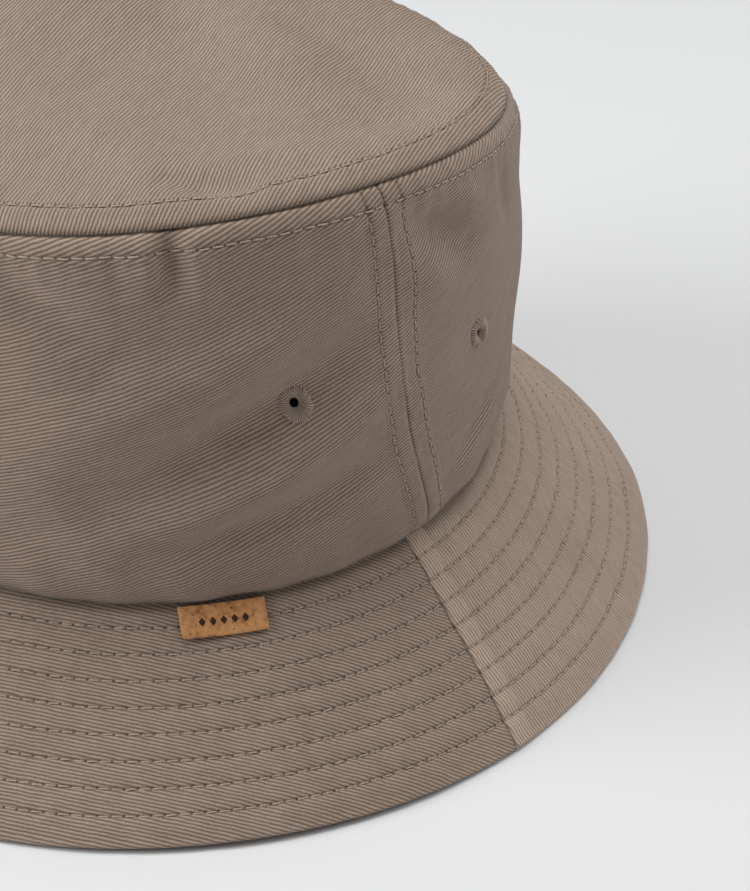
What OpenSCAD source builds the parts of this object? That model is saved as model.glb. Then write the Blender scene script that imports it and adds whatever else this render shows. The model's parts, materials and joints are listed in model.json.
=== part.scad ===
// Bucket hat in cotton twill, standing on the rim of its brim.
// The origin is on the hat's upright axis, at the height of the rim. +Z is up, -Y is the wearer's
// front and +X is the wearer's left. The side seams are at +X and -X.
// Every cloth ring is a revolved section, so one list of [radius, height] points shapes each piece.

/* [Head] */
// Radius inside the sweatband
head_r = 90.1; // [80:0.1:100]
// Height of the sweatband
band_h = 32; // [20:1:45]
// Thickness of the sweatband, a folded tape
band_t = 0.9; // [0.5:0.1:1.5]

/* [Cloth] */
// Thickness of one layer of twill
cloth_t = 0.6; // [0.4:0.1:0.9]
// Thickness of the stiffener inside the brim
stiffener_t = 0.5; // [0.3:0.1:1]
// Thickness of the tapes that cover the raw seams inside
tape_t = 0.4; // [0.2:0.1:0.6]
// Width of a row of sewing thread
thread_w = 0.6; // [0.3:0.1:1]
// How far a row of thread stands proud of the cloth
thread_h = 0.25; // [0.1:0.05:0.4]

/* [Crown] */
// Height of the side wall, from the brim seam to the tip seam
wall_h = 102; // [75:1:125]
// How much smaller the tip's radius is than the wall's at the brim seam
crown_taper = 2.8; // [0:0.1:12]
// How far the wall swells out at half its height
wall_bulge = 4.5; // [0:0.5:8]
// Rise of the tip from its edge to its middle
tip_rise = 6; // [1:0.5:14]
// Distance of each top-stitched row from the tip seam
topstitch_gap = 5.2; // [3:0.1:8]
// Distance of each top-stitched row from the side seam
side_stitch_gap = 5.5; // [3:0.1:8]
// Width of the tape over each side seam
side_tape_w = 13; // [8:0.5:20]
// Length of each leg of the binding over the tip seam
binding_leg = 7; // [4:0.5:12]

/* [Eyelets] */
// Height of the eyelets above the brim seam
eyelet_up = 52; // [30:1:70]
// Distance round the wall from the side seam to each eyelet
eyelet_off = 33; // [20:1:60]
// Outer radius of an eyelet's satin stitching
eyelet_r = 4.2; // [3:0.1:6]
// Radius of the hole through an eyelet
eyelet_hole_r = 1.1; // [0.8:0.1:2]
// Width of the stitching that lines the hole
eyelet_wrap = 0.5; // [0.3:0.1:1]
// How far the stitching stands proud on each side of the wall
eyelet_proud = 0.35; // [0.2:0.05:0.8]

/* [Brim] */
// Width of the brim along its slope
brim_w = 60; // [45:1:75]
// Slope of the brim below the horizontal
brim_slope = 37.2; // [20:0.1:50]
// Height of the seam allowances turned up behind the sweatband
allowance_h = 7; // [4:0.5:10]
// Distance from the brim seam to the first row of stitching
row_start = 6; // [4:0.5:10]
// Distance from the last row of stitching to the rim
hem_w = 7.8; // [5:0.1:12]
// Height of the rim's folded edge above the surface that it rests on
rim_lift = 0.2; // [0.1:0.05:0.3]

/* [Cork tab] */
// Width of the cork tab
tab_w = 20.5; // [12:0.5:35]
// Length of the cork tab below the seam
tab_l = 7.5; // [5:0.5:14]
// Thickness of the cork
cork_t = 0.7; // [0.4:0.1:1.2]
// Thickness of the tab's cloth backing
backing_t = 0.3; // [0.2:0.1:0.6]
// Angle from the left side seam round to the middle of the tab, towards the front
tab_turn = 31; // [15:1:70]

/* [Care label] */
// Width of the care label
care_w = 18; // [12:1:24]
// Length of the care label below the top of the sweatband
care_l = 22; // [12:1:28]
// Thickness of the folded care label
care_t = 0.4; // [0.2:0.1:0.8]

/* [Hidden] */
rows = 8;                                // rows of stitching round the brim
steps = 8;                               // straight steps that draw a curved section
tiny = 0.001;                            // share of a curve too short to be a step of its own
gap = 0.05;                              // air between pieces that lie against a curved face
swing_gap = 0.3;                         // air between a flap that swings and its neighbours

collar_in = head_r + band_t;             // inner face of the under layer's turned-up allowance
collar_mid = collar_in + cloth_t;        // face where the two turned-up allowances meet
wall_in = collar_mid + cloth_t;          // inner face of the wall at the brim seam
wall_out = wall_in + cloth_t;            // outer face of the wall at the brim seam
tip_r = wall_out - crown_taper;          // outer radius of the tip seam

layer_2 = cloth_t + stiffener_t;         // depth of the under layer's upper face in the brim
layer_3 = layer_2 + cloth_t;             // depth of the brim's lower face
seam_z = brim_w * sin(brim_slope) + layer_2 * cos(brim_slope) + rim_lift;   // height of the brim seam
tip_z = seam_z + wall_h;                 // height of the tip seam
row_pitch = (brim_w - row_start - hem_w) / (rows - 1);

cloth = [0.52, 0.46, 0.41];
thread = [0.57, 0.52, 0.47];
tape = [0.45, 0.40, 0.36];
cork = [0.76, 0.56, 0.36];

ROWS = [for (k = [1:rows]) str("brim_stitch_row_", k)];

// ---- Sections, as [radius, height] points ----

// The crown's curves are drawn in straight steps, and all that lies on them follows the same steps

// Outer face of the wall at its bend i
function wall_bend(i) = let (t = i / steps)
    [wall_out - crown_taper * t + wall_bulge * sin(180 * t), seam_z + wall_h * t];

// Top face of the tip at its bend i
function tip_bend(i) = let (t = i / steps)
    [tip_r * t, tip_z + cloth_t + tip_rise * (1 - pow(t, 2))];

// Whole steps before a share t of a curve, and the part of a step that is left
function whole_steps(t) = min(floor(t * steps), steps - 1);
function part_step(t) = t * steps - whole_steps(t);

// Outer face of the wall at a share t of its height, moved in by a depth
function wall_pt(t, depth = 0) = let (i = whole_steps(t), u = part_step(t))
    wall_bend(i) * (1 - u) + wall_bend(i + 1) * u - [depth, 0];

// Top face of the tip at a radius, moved down by a depth
function tip_pt(r, depth = 0) = let (i = whole_steps(r / tip_r), u = part_step(r / tip_r))
    tip_bend(i) * (1 - u) + tip_bend(i + 1) * u - [0, depth];

// Shares of a curve from t0 to t1, with each bend between them
function shares(t0, t1) =
    [t0, for (i = [1:steps - 1]) if (i / steps > t0 + tiny && i / steps < t1 - tiny) i / steps, t1];

// The wall's face between two shares of its height
function wall_line(t0, t1, depth = 0) = [for (t = shares(t0, t1)) wall_pt(t, depth)];

// The tip's face between two radii
function tip_line(r0, r1, depth = 0) = [for (t = shares(r0 / tip_r, r1 / tip_r)) tip_pt(t * tip_r, depth)];

// A point in the brim: s along the slope from the seam, depth below the upper face
function brim_pt(s, depth = 0) =
    [wall_in + s * cos(brim_slope) - depth * sin(brim_slope),
     seam_z - s * sin(brim_slope) - depth * cos(brim_slope)];

// Distance along the slope at which a depth in the brim has a given radius or height
function brim_s_at_r(r, depth) = (r - wall_in + depth * sin(brim_slope)) / cos(brim_slope);
function brim_s_at_z(z, depth) = (seam_z - z - depth * cos(brim_slope)) / sin(brim_slope);

// A section's outline from its outer line and its inner line
function reversed(line) = [for (i = [len(line) - 1:-1:0]) line[i]];
function closed(outer, inner) = concat(outer, reversed(inner));

// ---- Building blocks ----

module ring(section) { rotate_extrude() polygon(section); }

// Half of a ring; the front half is on the -Y side
module half_ring(section, front) {
    rotate([0, 0, front ? 180 : 0]) rotate_extrude(angle = 180) polygon(section);
}

// A stretch of a ring, centred on a direction measured from +X
module arc_ring(section, middle, width_deg) {
    rotate([0, 0, middle - width_deg / 2]) rotate_extrude(angle = width_deg) polygon(section);
}

// Degrees round the hat that a width takes up at a radius
function arc_deg(width, r) = width / r * 180 / PI;

// A plate that starts at the origin and lies along +X, centred on the X axis
module flap(width, length, thickness) {
    translate([0, -width / 2, 0]) cube([length, width, thickness]);
}

// ---- Crown ----

eyelet_z = seam_z + eyelet_up;
eyelet_t = eyelet_up / wall_h;
eyelet_turn = arc_deg(eyelet_off, wall_pt(eyelet_t)[0]);
eyelet_reach = 2 * eyelet_r;             // how far a cutting rod passes the wall on each side
eyelet_t0 = eyelet_t - eyelet_reach / wall_h;
eyelet_t1 = eyelet_t + eyelet_reach / wall_h;

// A round rod through the wall at an eyelet
module eyelet_rod(r, direction) {
    rotate([0, 0, direction]) translate([wall_pt(eyelet_t)[0] - eyelet_reach, 0, eyelet_z])
        rotate([0, 90, 0]) cylinder(h = 2 * eyelet_reach, r = r, $fn = 48);
}

// The stretch of wall face round the eyelets, moved in by a depth
function eyelet_line(depth) = wall_line(eyelet_t0, eyelet_t1, depth);

module wall_half(front) {
    color(cloth) difference() {
        half_ring(closed(wall_line(0, 1), wall_line(0, 1, cloth_t)), front);
        for (side = [0, 180], turn = [-eyelet_turn, eyelet_turn])
            eyelet_rod(eyelet_hole_r + eyelet_wrap, side + turn);
    }
}

module wall_front() { wall_half(true); }
module wall_back() { wall_half(false); }

module tip_panel() {
    color(cloth) ring(closed(tip_line(0, tip_r), tip_line(0, tip_r, cloth_t)));
}

// The binding turns the corner inside the tip seam
module tip_seam_binding() {
    corner = tip_r - cloth_t - gap;
    inner = corner - tape_t;
    low_z = tip_z - binding_leg;
    color(tape) ring(concat(
        [[corner, low_z]],
        reversed(tip_line(corner - binding_leg, corner, cloth_t + gap)),
        tip_line(corner - binding_leg, inner, cloth_t + gap + tape_t),
        [[inner, low_z]]));
}

// Tape over a side seam, from above the allowances to below the binding
module seam_tape(direction) {
    t0 = (allowance_h + 1) / wall_h;
    t1 = 1 - (binding_leg + 1) / wall_h;
    color(tape) arc_ring(
        closed(wall_line(t0, t1, cloth_t + gap), wall_line(t0, t1, cloth_t + gap + tape_t)),
        direction, arc_deg(side_tape_w, wall_pt(0.5)[0]));
}

module left_seam_tape() { seam_tape(0); }
module right_seam_tape() { seam_tape(180); }

module tip_topstitch() {
    r0 = tip_r - topstitch_gap;
    color(thread) ring(closed(tip_line(r0, r0 + thread_w, -thread_h), tip_line(r0, r0 + thread_w)));
}

module wall_topstitch() {
    t1 = 1 - topstitch_gap / wall_h;
    t0 = t1 - thread_w / wall_h;
    color(thread) ring(closed(wall_line(t0, t1, -thread_h), wall_line(t0, t1)));
}

// Two rows of thread, one on each side of a side seam
module seam_stitches(direction) {
    t1 = 1 - (topstitch_gap + 2 * thread_w) / wall_h;
    turn = arc_deg(side_stitch_gap, wall_pt(0.5)[0]);
    color(thread) for (row = [-turn, turn])
        arc_ring(closed(wall_line(0, t1, -thread_h), wall_line(0, t1)),
            direction + row, arc_deg(thread_w, wall_pt(0.5)[0]));
}

module left_seam_stitches() { seam_stitches(0); }
module right_seam_stitches() { seam_stitches(180); }

// Satin stitching: a round patch on each face of the wall, joined through the hole
module eyelet(direction) {
    color(thread) difference() {
        union() {
            intersection() {
                ring(closed(eyelet_line(-eyelet_proud), eyelet_line(0)));
                eyelet_rod(eyelet_r, direction);
            }
            intersection() {
                ring(closed(eyelet_line(cloth_t), eyelet_line(cloth_t + eyelet_proud)));
                eyelet_rod(eyelet_r, direction);
            }
            intersection() {
                ring(closed(eyelet_line(-eyelet_proud), eyelet_line(cloth_t + eyelet_proud)));
                eyelet_rod(eyelet_hole_r + eyelet_wrap, direction);
            }
        }
        eyelet_rod(eyelet_hole_r, direction);
    }
}

module eyelet_left_front() { eyelet(-eyelet_turn); }
module eyelet_left_back() { eyelet(eyelet_turn); }
module eyelet_right_front() { eyelet(180 + eyelet_turn); }
module eyelet_right_back() { eyelet(180 - eyelet_turn); }

// ---- Brim ----

fold_w = 2.4;                            // width of the upper layer's edge folded in at the rim

// The upper layer: its inner edge turns up behind the wall, its outer edge folds in at the rim
module brim_upper(front) {
    color(cloth) half_ring([
        [collar_mid, seam_z + allowance_h],
        [wall_in, seam_z + allowance_h],
        [wall_in, seam_z],
        brim_pt(brim_w),
        brim_pt(brim_w, layer_2),
        brim_pt(brim_w - fold_w, layer_2),
        brim_pt(brim_w - fold_w, cloth_t),
        brim_pt(brim_s_at_r(collar_mid, cloth_t), cloth_t)], front);
}

module brim_upper_front() { brim_upper(true); }
module brim_upper_back() { brim_upper(false); }

module brim_stiffener() {
    s0 = brim_s_at_r(wall_in, cloth_t) + fold_w;
    color("white") ring(closed(
        [brim_pt(s0, cloth_t), brim_pt(brim_w - fold_w, cloth_t)],
        [brim_pt(s0, layer_2), brim_pt(brim_w - fold_w, layer_2)]));
}

// The under layer: the flat at its outer edge is the face that the hat rests on
module brim_under(front) {
    rim = brim_pt(brim_w, layer_2);
    color(cloth) half_ring([
        [collar_in, seam_z + allowance_h],
        [collar_mid, seam_z + allowance_h],
        brim_pt(brim_s_at_r(collar_mid, layer_2), layer_2),
        rim,
        [rim[0], 0],
        brim_pt(brim_s_at_z(0, layer_3), layer_3),
        brim_pt(brim_s_at_r(collar_in, layer_3), layer_3)], front);
}

module brim_under_front() { brim_under(true); }
module brim_under_back() { brim_under(false); }

// One row of stitching: the needle thread above the brim and the bobbin thread below it
module brim_stitch_row(k) {
    s = row_start + (k - 1) * row_pitch;
    color(thread) for (face = [[-thread_h, 0], [layer_3, layer_3 + thread_h]])
        ring(closed([for (d = face) brim_pt(s - thread_w / 2, d)], [for (d = face) brim_pt(s + thread_w / 2, d)]));
}

// ---- Head band ----

module sweatband() {
    color(tape) ring([
        [head_r, seam_z], [collar_in, seam_z], [collar_in, seam_z + band_h], [head_r, seam_z + band_h]]);
}

// The row of thread that holds the sweatband to the allowances
module sweatband_stitches() {
    z = seam_z + allowance_h / 2;
    color(thread) ring([
        [head_r - thread_h, z - thread_w / 2], [head_r, z - thread_w / 2],
        [head_r, z + thread_w / 2], [head_r - thread_h, z + thread_w / 2]]);
}

// ---- Flaps ----

tab_t = cork_t + backing_t;
tab_s = (wall_out - wall_in + swing_gap) / cos(brim_slope);   // where the tab leaves the seam
tab_lift = thread_h + swing_gap;                              // height of the tab's underside over the brim

// Places a layer of the tab on the brim's slope, at a height above the brim's upper face
module on_tab(height) {
    start = brim_pt(tab_s, -height);
    rotate([0, 0, -tab_turn]) translate([start[0], 0, start[1]]) rotate([0, brim_slope, 0]) children();
}

module cork_tab() { color(cork) on_tab(tab_lift + backing_t) flap(tab_w, tab_l, cork_t); }
module cork_tab_backing() { color(tape) on_tab(tab_lift) flap(tab_w, tab_l, backing_t); }

// The care label hangs from the top of the sweatband at the back, flat across the band's curve
module care_label() {
    hang_r = sqrt(pow(head_r - swing_gap, 2) - pow(care_w / 2, 2));
    color("white") rotate([0, 0, 90]) translate([hang_r, 0, seam_z + band_h]) rotate([0, 90, 0])
        translate([0, 0, -care_t]) flap(care_w, care_l, care_t);
}

tip_panel();
wall_front();
wall_back();
tip_seam_binding();
left_seam_tape();
right_seam_tape();
tip_topstitch();
wall_topstitch();
left_seam_stitches();
right_seam_stitches();
eyelet_left_front();
eyelet_left_back();
eyelet_right_front();
eyelet_right_back();
brim_upper_front();
brim_upper_back();
brim_stiffener();
brim_under_front();
brim_under_back();
sweatband();
sweatband_stitches();
cork_tab();
cork_tab_backing();
care_label();
for (k = [1:rows]) brim_stitch_row(k);
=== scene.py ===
"""A cotton-twill bucket hat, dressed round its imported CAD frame.

Each part of the hat that is cloth is a face: a smooth surface, with seams, stitched grooves, puckers and
creases as heights on it. A grid laid on a face becomes a closed shell of cloth, and every stitch is a small
piece of thread between two needle holes on it. Lengths are in millimetres unless a name says otherwise, and
turn to metres where a mesh is made. Angles round the hat are measured from +X, the wearer's left.
"""
import json
import logging
import math
from dataclasses import dataclass, field
from enum import Enum
from typing import Any, Callable, Sequence

import bpy
import numpy as np
from mathutils import Matrix, Vector


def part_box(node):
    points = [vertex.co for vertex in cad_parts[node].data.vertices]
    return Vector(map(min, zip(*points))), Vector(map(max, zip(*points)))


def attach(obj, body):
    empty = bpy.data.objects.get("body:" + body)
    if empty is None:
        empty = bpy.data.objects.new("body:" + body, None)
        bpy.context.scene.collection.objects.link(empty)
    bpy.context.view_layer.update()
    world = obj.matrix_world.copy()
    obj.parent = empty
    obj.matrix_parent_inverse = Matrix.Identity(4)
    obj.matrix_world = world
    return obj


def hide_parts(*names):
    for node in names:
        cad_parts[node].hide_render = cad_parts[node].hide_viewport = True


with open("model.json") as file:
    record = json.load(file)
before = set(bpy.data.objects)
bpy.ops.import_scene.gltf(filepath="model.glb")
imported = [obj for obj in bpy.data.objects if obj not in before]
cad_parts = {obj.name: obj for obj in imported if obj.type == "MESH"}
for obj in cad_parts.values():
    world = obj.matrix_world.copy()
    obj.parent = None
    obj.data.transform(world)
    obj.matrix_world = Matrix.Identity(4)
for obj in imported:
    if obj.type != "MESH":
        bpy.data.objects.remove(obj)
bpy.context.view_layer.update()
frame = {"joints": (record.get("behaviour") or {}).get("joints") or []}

logging.basicConfig(level=logging.INFO, format="%(message)s")
log = logging.getLogger("bucket_hat")

MM = 0.001
TURN = 2 * math.pi
LEFT, RIGHT = 0.0, math.pi
STITCH = 3.2  # length of a machine stitch
NO_ROW = 9.0  # distance to the nearest row, given to cloth that has none


# ---------------------------------------------------------------- sums on arrays

def bump(x: np.ndarray, width: float) -> np.ndarray:
    """A smooth hill of height 1 at x = 0."""
    return np.exp(-(x / width) ** 2)


def rise(x: np.ndarray, low: float, high: float) -> np.ndarray:
    """A smooth rise from 0 at low to 1 at high, or a fall where high is the lower."""
    t = np.clip((x - low) / (high - low), 0, 1)
    return t * t * (3 - 2 * t)


def turn_between(phi: np.ndarray, target: float) -> np.ndarray:
    """The signed angle from target to phi, the short way round."""
    return (phi - target + math.pi) % TURN - math.pi


def from_side_seam(phi: np.ndarray) -> np.ndarray:
    """The signed angle from the nearest side seam to phi."""
    return (phi + math.pi / 2) % math.pi - math.pi / 2


def half_middle(phi: np.ndarray) -> np.ndarray:
    """The middle angle of the half, front or back, that phi is in."""
    return np.where(np.sin(phi) < 0, -math.pi / 2, math.pi / 2)


def on_circle(r: np.ndarray | float, angle: np.ndarray, z: np.ndarray | float) -> np.ndarray:
    """Points at a radius, an angle round the hat and a height."""
    return np.stack([r * np.cos(angle), r * np.sin(angle), z + 0 * angle], -1)


def grid_of(rows: np.ndarray, columns: np.ndarray) -> tuple[np.ndarray, np.ndarray]:
    """The row's and the column's value at each place of a grid."""
    row, column = np.meshgrid(rows, columns, indexing="ij")
    return row, column


def stitches_round(radius: float) -> int:
    """How many stitches a closed row of a radius has."""
    return round(TURN * radius / STITCH)


def smooth_line(corners: Sequence[Sequence[float]], per_span: int = 24) -> np.ndarray:
    """A Catmull-Rom curve through a few corners.

    Args:
        corners: points of any number of dimensions.
        per_span: how many steps to take between two corners.

    Returns:
        The points along the curve, first and last corner included.
    """
    p = np.asarray(corners, float)
    p = np.vstack([2 * p[0] - p[1], p, 2 * p[-1] - p[-2]])
    t = np.linspace(0, 1, per_span, endpoint=False)[:, None]
    spans = []
    for a, b, c, d in zip(p, p[1:], p[2:], p[3:]):
        spans.append(0.5 * (2 * b + (c - a) * t + (2 * a - 5 * b + 4 * c - d) * t ** 2
                            + (3 * b - a - 3 * c + d) * t ** 3))
    return np.vstack(spans + [p[-2:-1]])


def stations(*spans: tuple[float, float, float]) -> np.ndarray:
    """Places along a line, from spans of (start, end, spacing) that follow on from each other."""
    parts = [np.linspace(a, b, max(2, round(abs(b - a) / gap) + 1))[:-1] for a, b, gap in spans]
    return np.concatenate(parts + [np.array([spans[-1][1]])])


def twill_lines(x: np.ndarray, y: np.ndarray, angle_deg: float) -> np.ndarray:
    """How far points of a flat pattern are across and along wales that run at an angle to its x axis."""
    a = math.radians(angle_deg)
    return np.stack([y * math.cos(a) - x * math.sin(a), x * math.cos(a) + y * math.sin(a)], -1)


class Ripple:
    """An irregular height that varies smoothly in space and is the same on every run."""

    def __init__(self, seed: int, wavelength: float, waves: int = 12) -> None:
        """Draws the waves.

        Args:
            seed: a different number gives a different pattern.
            wavelength: the middle wavelength.
            waves: how many sine waves are added up.
        """
        rng = np.random.default_rng(seed)
        heading = rng.normal(size=(waves, 3))
        heading /= np.linalg.norm(heading, axis=1, keepdims=True)
        self.waves = heading * (TURN / (wavelength * rng.uniform(0.65, 1.5, (waves, 1))))
        self.phases = rng.uniform(0, TURN, waves)

    def at(self, points: np.ndarray) -> np.ndarray:
        """The height at each point, mostly between -1 and 1."""
        total = np.zeros(points.shape[:-1])
        for wave, phase in zip(self.waves, self.phases):
            total += np.sin(points @ wave + phase)
        return total * math.sqrt(2 / len(self.phases)) * 0.7


class RoundRipple:
    """An irregular height round a ring, made of whole numbers of waves so that it closes on itself."""

    def __init__(self, seed: int, wavelength: float, radius: float, waves: int = 9) -> None:
        """Draws the waves round a ring of a radius, as Ripple does in space."""
        rng = np.random.default_rng(seed)
        middle = TURN * radius / wavelength
        self.counts = np.rint(middle * rng.uniform(0.7, 1.45, waves))
        self.phases = rng.uniform(0, TURN, waves)

    def at(self, phi: np.ndarray) -> np.ndarray:
        """The height at each angle, mostly between -1 and 1."""
        total = sum(np.sin(phi * n + p) for n, p in zip(self.counts, self.phases))
        return total * math.sqrt(2 / len(self.counts)) * 0.7


# ---------------------------------------------------------------- surfaces

@dataclass(frozen=True)
class HatSize:
    """Sizes of the CAD frame that the cloth is built on."""

    seam_z: float
    band_top: float
    collar_r: float
    rim_r: float
    band_t: float = 0.9
    slope: float = math.radians(37.2)
    cloth_t: float = 0.6

    @classmethod
    def from_frame(cls) -> "HatSize":
        """Reads the sizes off the boxes of the CAD nodes."""
        band_low, band_high = (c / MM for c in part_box("sweatband"))
        rim_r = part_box("brim_upper_front")[1].x / MM
        return cls(seam_z=band_low.z, band_top=band_high.z, collar_r=band_high.x, rim_r=rim_r)

    @property
    def head_r(self) -> float:
        """Radius of the head opening."""
        return self.collar_r - self.band_t

    @property
    def wall_in(self) -> float:
        """Radius where the brim meets the wall."""
        return self.collar_r + 2 * self.cloth_t

    @property
    def brim_w(self) -> float:
        """Width of the brim along its slope."""
        return (self.rim_r - self.wall_in) / math.cos(self.slope)


@dataclass(frozen=True)
class Crease:
    """A valley in the cloth, or a ridge where its depth is negative, between two places on the wall.

    Attributes:
        start: angle round the hat in degrees, and height above the ground.
        end: the same for its other end.
        depth: how deep it is.
        width: how far it spreads to each side.
    """

    start: tuple[float, float]
    end: tuple[float, float]
    depth: float
    width: float

    def at(self, phi: np.ndarray, z: np.ndarray, radius: float) -> np.ndarray:
        """The height that this crease adds at angles and heights on a wall of a radius."""
        middle = math.radians((self.start[0] + self.end[0]) / 2)
        half = math.radians(self.end[0] - self.start[0]) / 2 * radius
        x = turn_between(phi, middle) * radius
        ax, az, bx, bz = -half, self.start[1], half, self.end[1]
        reach = (bx - ax) ** 2 + (bz - az) ** 2
        along = np.clip(((x - ax) * (bx - ax) + (z - az) * (bz - az)) / reach, 0, 1)
        away = np.hypot(x - ax - along * (bx - ax), z - az - along * (bz - az))
        return -self.depth * bump(away, self.width) * (0.5 + 0.5 * np.sin(math.pi * along))


class Face:
    """A surface of the hat, found from an angle round it and a distance across it.

    Attributes:
        nudge_angle: how far to each side the normal is measured, as an angle.
        nudge: the same across the face.
        allowance: distances from a seam between which the step of the folded-back cloth fades.
        allowance_t: height of that step.
    """

    nudge_angle = 0.0004
    nudge = 0.04
    allowance = (7.2, 6.0)
    allowance_t = 0.35

    def base(self, phi: np.ndarray, s: np.ndarray) -> np.ndarray:
        """The smooth surface under the details."""
        raise NotImplementedError

    def height(self, phi: np.ndarray, s: np.ndarray) -> np.ndarray:
        """How far the cloth stands out from the smooth surface."""
        raise NotImplementedError

    @staticmethod
    def sewn(away: np.ndarray, count: np.ndarray) -> np.ndarray:
        """The groove of a row of crown stitching, and the cloth that swells between its stitches."""
        return 0.07 * np.cos(TURN * count) * bump(away, 1.1) - 0.42 * bump(away, 0.6)

    def normal(self, phi: np.ndarray, s: np.ndarray) -> np.ndarray:
        """The unit normal of the smooth surface, away from the head."""
        round_hat = self.base(phi + self.nudge_angle, s) - self.base(phi - self.nudge_angle, s)
        across = self.base(phi, s + self.nudge) - self.base(phi, s - self.nudge)
        n = np.cross(round_hat, across)
        return n / np.maximum(np.linalg.norm(n, axis=-1, keepdims=True), 1e-12)

    def at(self, phi: np.ndarray, s: np.ndarray, lift: float = 0.0) -> tuple[np.ndarray, np.ndarray]:
        """Points of the detailed surface.

        Args:
            phi: angles round the hat, in the cloth's own terms.
            s: distances across the face.
            lift: how far above the surface, or below it where negative.

        Returns:
            The points, and the smooth surface's normals there.
        """
        phi, s = np.broadcast_arrays(np.asarray(phi, float), np.asarray(s, float))
        n = self.normal(phi, s)
        return self.base(phi, s) + n * (self.height(phi, s) + lift)[..., None], n


@dataclass
class WallFace(Face):
    """The side wall's outer face. s runs up it from the brim seam.

    Attributes:
        size: the frame's sizes.
        line: its outline where it is at its full height, as radius and height above the seam.
        twists: degrees that it has turned on the brim, at heights above the seam.
        fixed_h: below this height the wall doesn't slump.
        seam_gap: from each side seam to the stitching beside it.
        top_gap: from the tip seam down to the stitching under it.
        radius: of the middle of the wall, where lengths round it hold.
        twill_deg: how steeply the wales rise.
        creases: its folds.
        eyelets: angle and s of each eyelet, which pulls a dimple into the cloth.
    """

    size: HatSize
    line: Sequence[tuple[float, float]] = (
        (92.3, 0), (93.2, 1.7), (94.6, 4.3), (95.7, 8.6), (96.5, 15), (96.7, 26), (96.3, 43), (95.7, 61),
        (95.1, 77), (94.5, 89.5), (93.2, 97.3), (90.6, 102))
    twists: Sequence[tuple[float, float]] = (
        (0, 6.8), (10, 5), (18, 3.3), (36, 0), (52, -2.2), (65, -3), (84, -4.3), (102, -6.4))
    fixed_h: float = 35
    seam_gap: float = 5.5
    top_gap: float = 5.3
    radius: float = 96
    twill_deg: float = 23
    creases: list[Crease] = field(default_factory=list)
    eyelets: list[tuple[float, float]] = field(default_factory=list)

    def __post_init__(self) -> None:
        """Measures the outline and draws the irregular parts of the cloth."""
        self.curve = smooth_line(self.line)
        self.steps = np.concatenate([[0], np.cumsum(np.hypot(*np.diff(self.curve, axis=0).T))])
        self.length = float(self.steps[-1])
        self.full_h = self.line[-1][1]
        self.sag = Ripple(3, 62)
        self.crumple = Ripple(5, 23)
        self.seam_pucker = [Ripple(7, 6.5), Ripple(8, 11)]
        self.top_pucker = RoundRipple(9, 7, self.radius)
        self.top_folds = RoundRipple(10, 19, self.radius)
        self.base_folds = RoundRipple(12, 26, self.radius)

    @staticmethod
    def top_z(phi: np.ndarray) -> np.ndarray:
        """Height of the tip seam: the crown is higher at its sides and slumps at the back."""
        return 136.3 + 7 * np.cos(2 * phi) - 5.2 * np.sin(phi)

    def twist(self, up: np.ndarray) -> np.ndarray:
        """How far the crown has turned on the brim at a height above the brim seam."""
        heights, degrees = zip(*self.twists)
        return np.radians(np.interp(up, heights, degrees))

    def outline(self, phi: np.ndarray, s: np.ndarray) -> tuple[np.ndarray, np.ndarray, np.ndarray]:
        """Radius, height above the brim seam and world angle of a place on the wall."""
        r = np.interp(s, self.steps, self.curve[:, 0])
        full = np.interp(s, self.steps, self.curve[:, 1])
        world = phi + self.twist(full)
        h = self.top_z(world) - self.size.seam_z
        share = (h - self.fixed_h) / (self.full_h - self.fixed_h)
        up = np.where(full > self.fixed_h, self.fixed_h + (full - self.fixed_h) * share, full)
        r = r + 0.22 * (self.full_h - h) * np.sin(math.pi * np.clip(full / self.full_h, 0, 1))
        return r, up, world

    def base(self, phi: np.ndarray, s: np.ndarray) -> np.ndarray:
        """The smooth wall."""
        r, up, world = self.outline(phi, s)
        return on_circle(r, world, self.size.seam_z + up)

    def height(self, phi: np.ndarray, s: np.ndarray) -> np.ndarray:
        """Allowances, grooves, puckers, folds and the dimples round the eyelets."""
        x = from_side_seam(phi) * self.radius
        down = self.length - s
        smooth = self.base(phi, s)
        _, up, world = self.outline(phi, s)
        z = self.size.seam_z + up
        h = self.allowance_t * rise(np.abs(x), *self.allowance) * (1 - 0.5 * rise(s, 6, 1))
        h = np.maximum(h, self.allowance_t * rise(down, *self.allowance))
        h -= 0.3 * bump(x, 0.36)
        h += 0.05 * bump(np.abs(x) - 1.1, 0.7)
        beside_row = np.abs(np.abs(x) - self.seam_gap)
        h += self.sewn(beside_row, s / STITCH) * rise(down, 2, 6)
        h += self.sewn(down - self.top_gap, phi / TURN * stitches_round(self.radius))
        h -= 1.2 * bump(down, 0.7)
        near_seam = bump(x, 8.5)
        fine, coarse = (r.at(smooth * [0.35, 0.35, 1]) for r in self.seam_pucker)
        h += near_seam * (0.16 * fine + 0.22 * coarse) * rise(np.abs(x), 0.2, 2)
        h += (0.16 * self.top_pucker.at(phi) + 0.2 * self.top_folds.at(phi)) * bump(down - 7, 8)
        h += 0.45 * self.base_folds.at(phi) * bump(s - 7, 9)
        slack = (self.full_h - (self.top_z(world) - self.size.seam_z)) / 15
        wave = np.sin(TURN * (up / 41 + 0.09 * np.sin(3 * world) + 0.05 * np.sin(5 * world + 1)))
        h += 1.1 * np.clip(slack, 0, 1.2) * wave * np.sin(math.pi * np.clip(s / self.length, 0, 1))
        body = rise(s, 0, 18) * rise(down, 0, 16)
        h += body * (0.75 * self.sag.at(smooth) + 0.16 * self.crumple.at(smooth))
        for crease in self.creases:
            h += crease.at(world, z, self.radius) * rise(down, -1, 3) * rise(s, 2, 10)
        for phi_e, s_e in self.eyelets:
            away = np.hypot(turn_between(phi, phi_e) * self.radius, s - s_e)
            h -= 0.5 * bump(away, 6.0)
        return h

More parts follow.
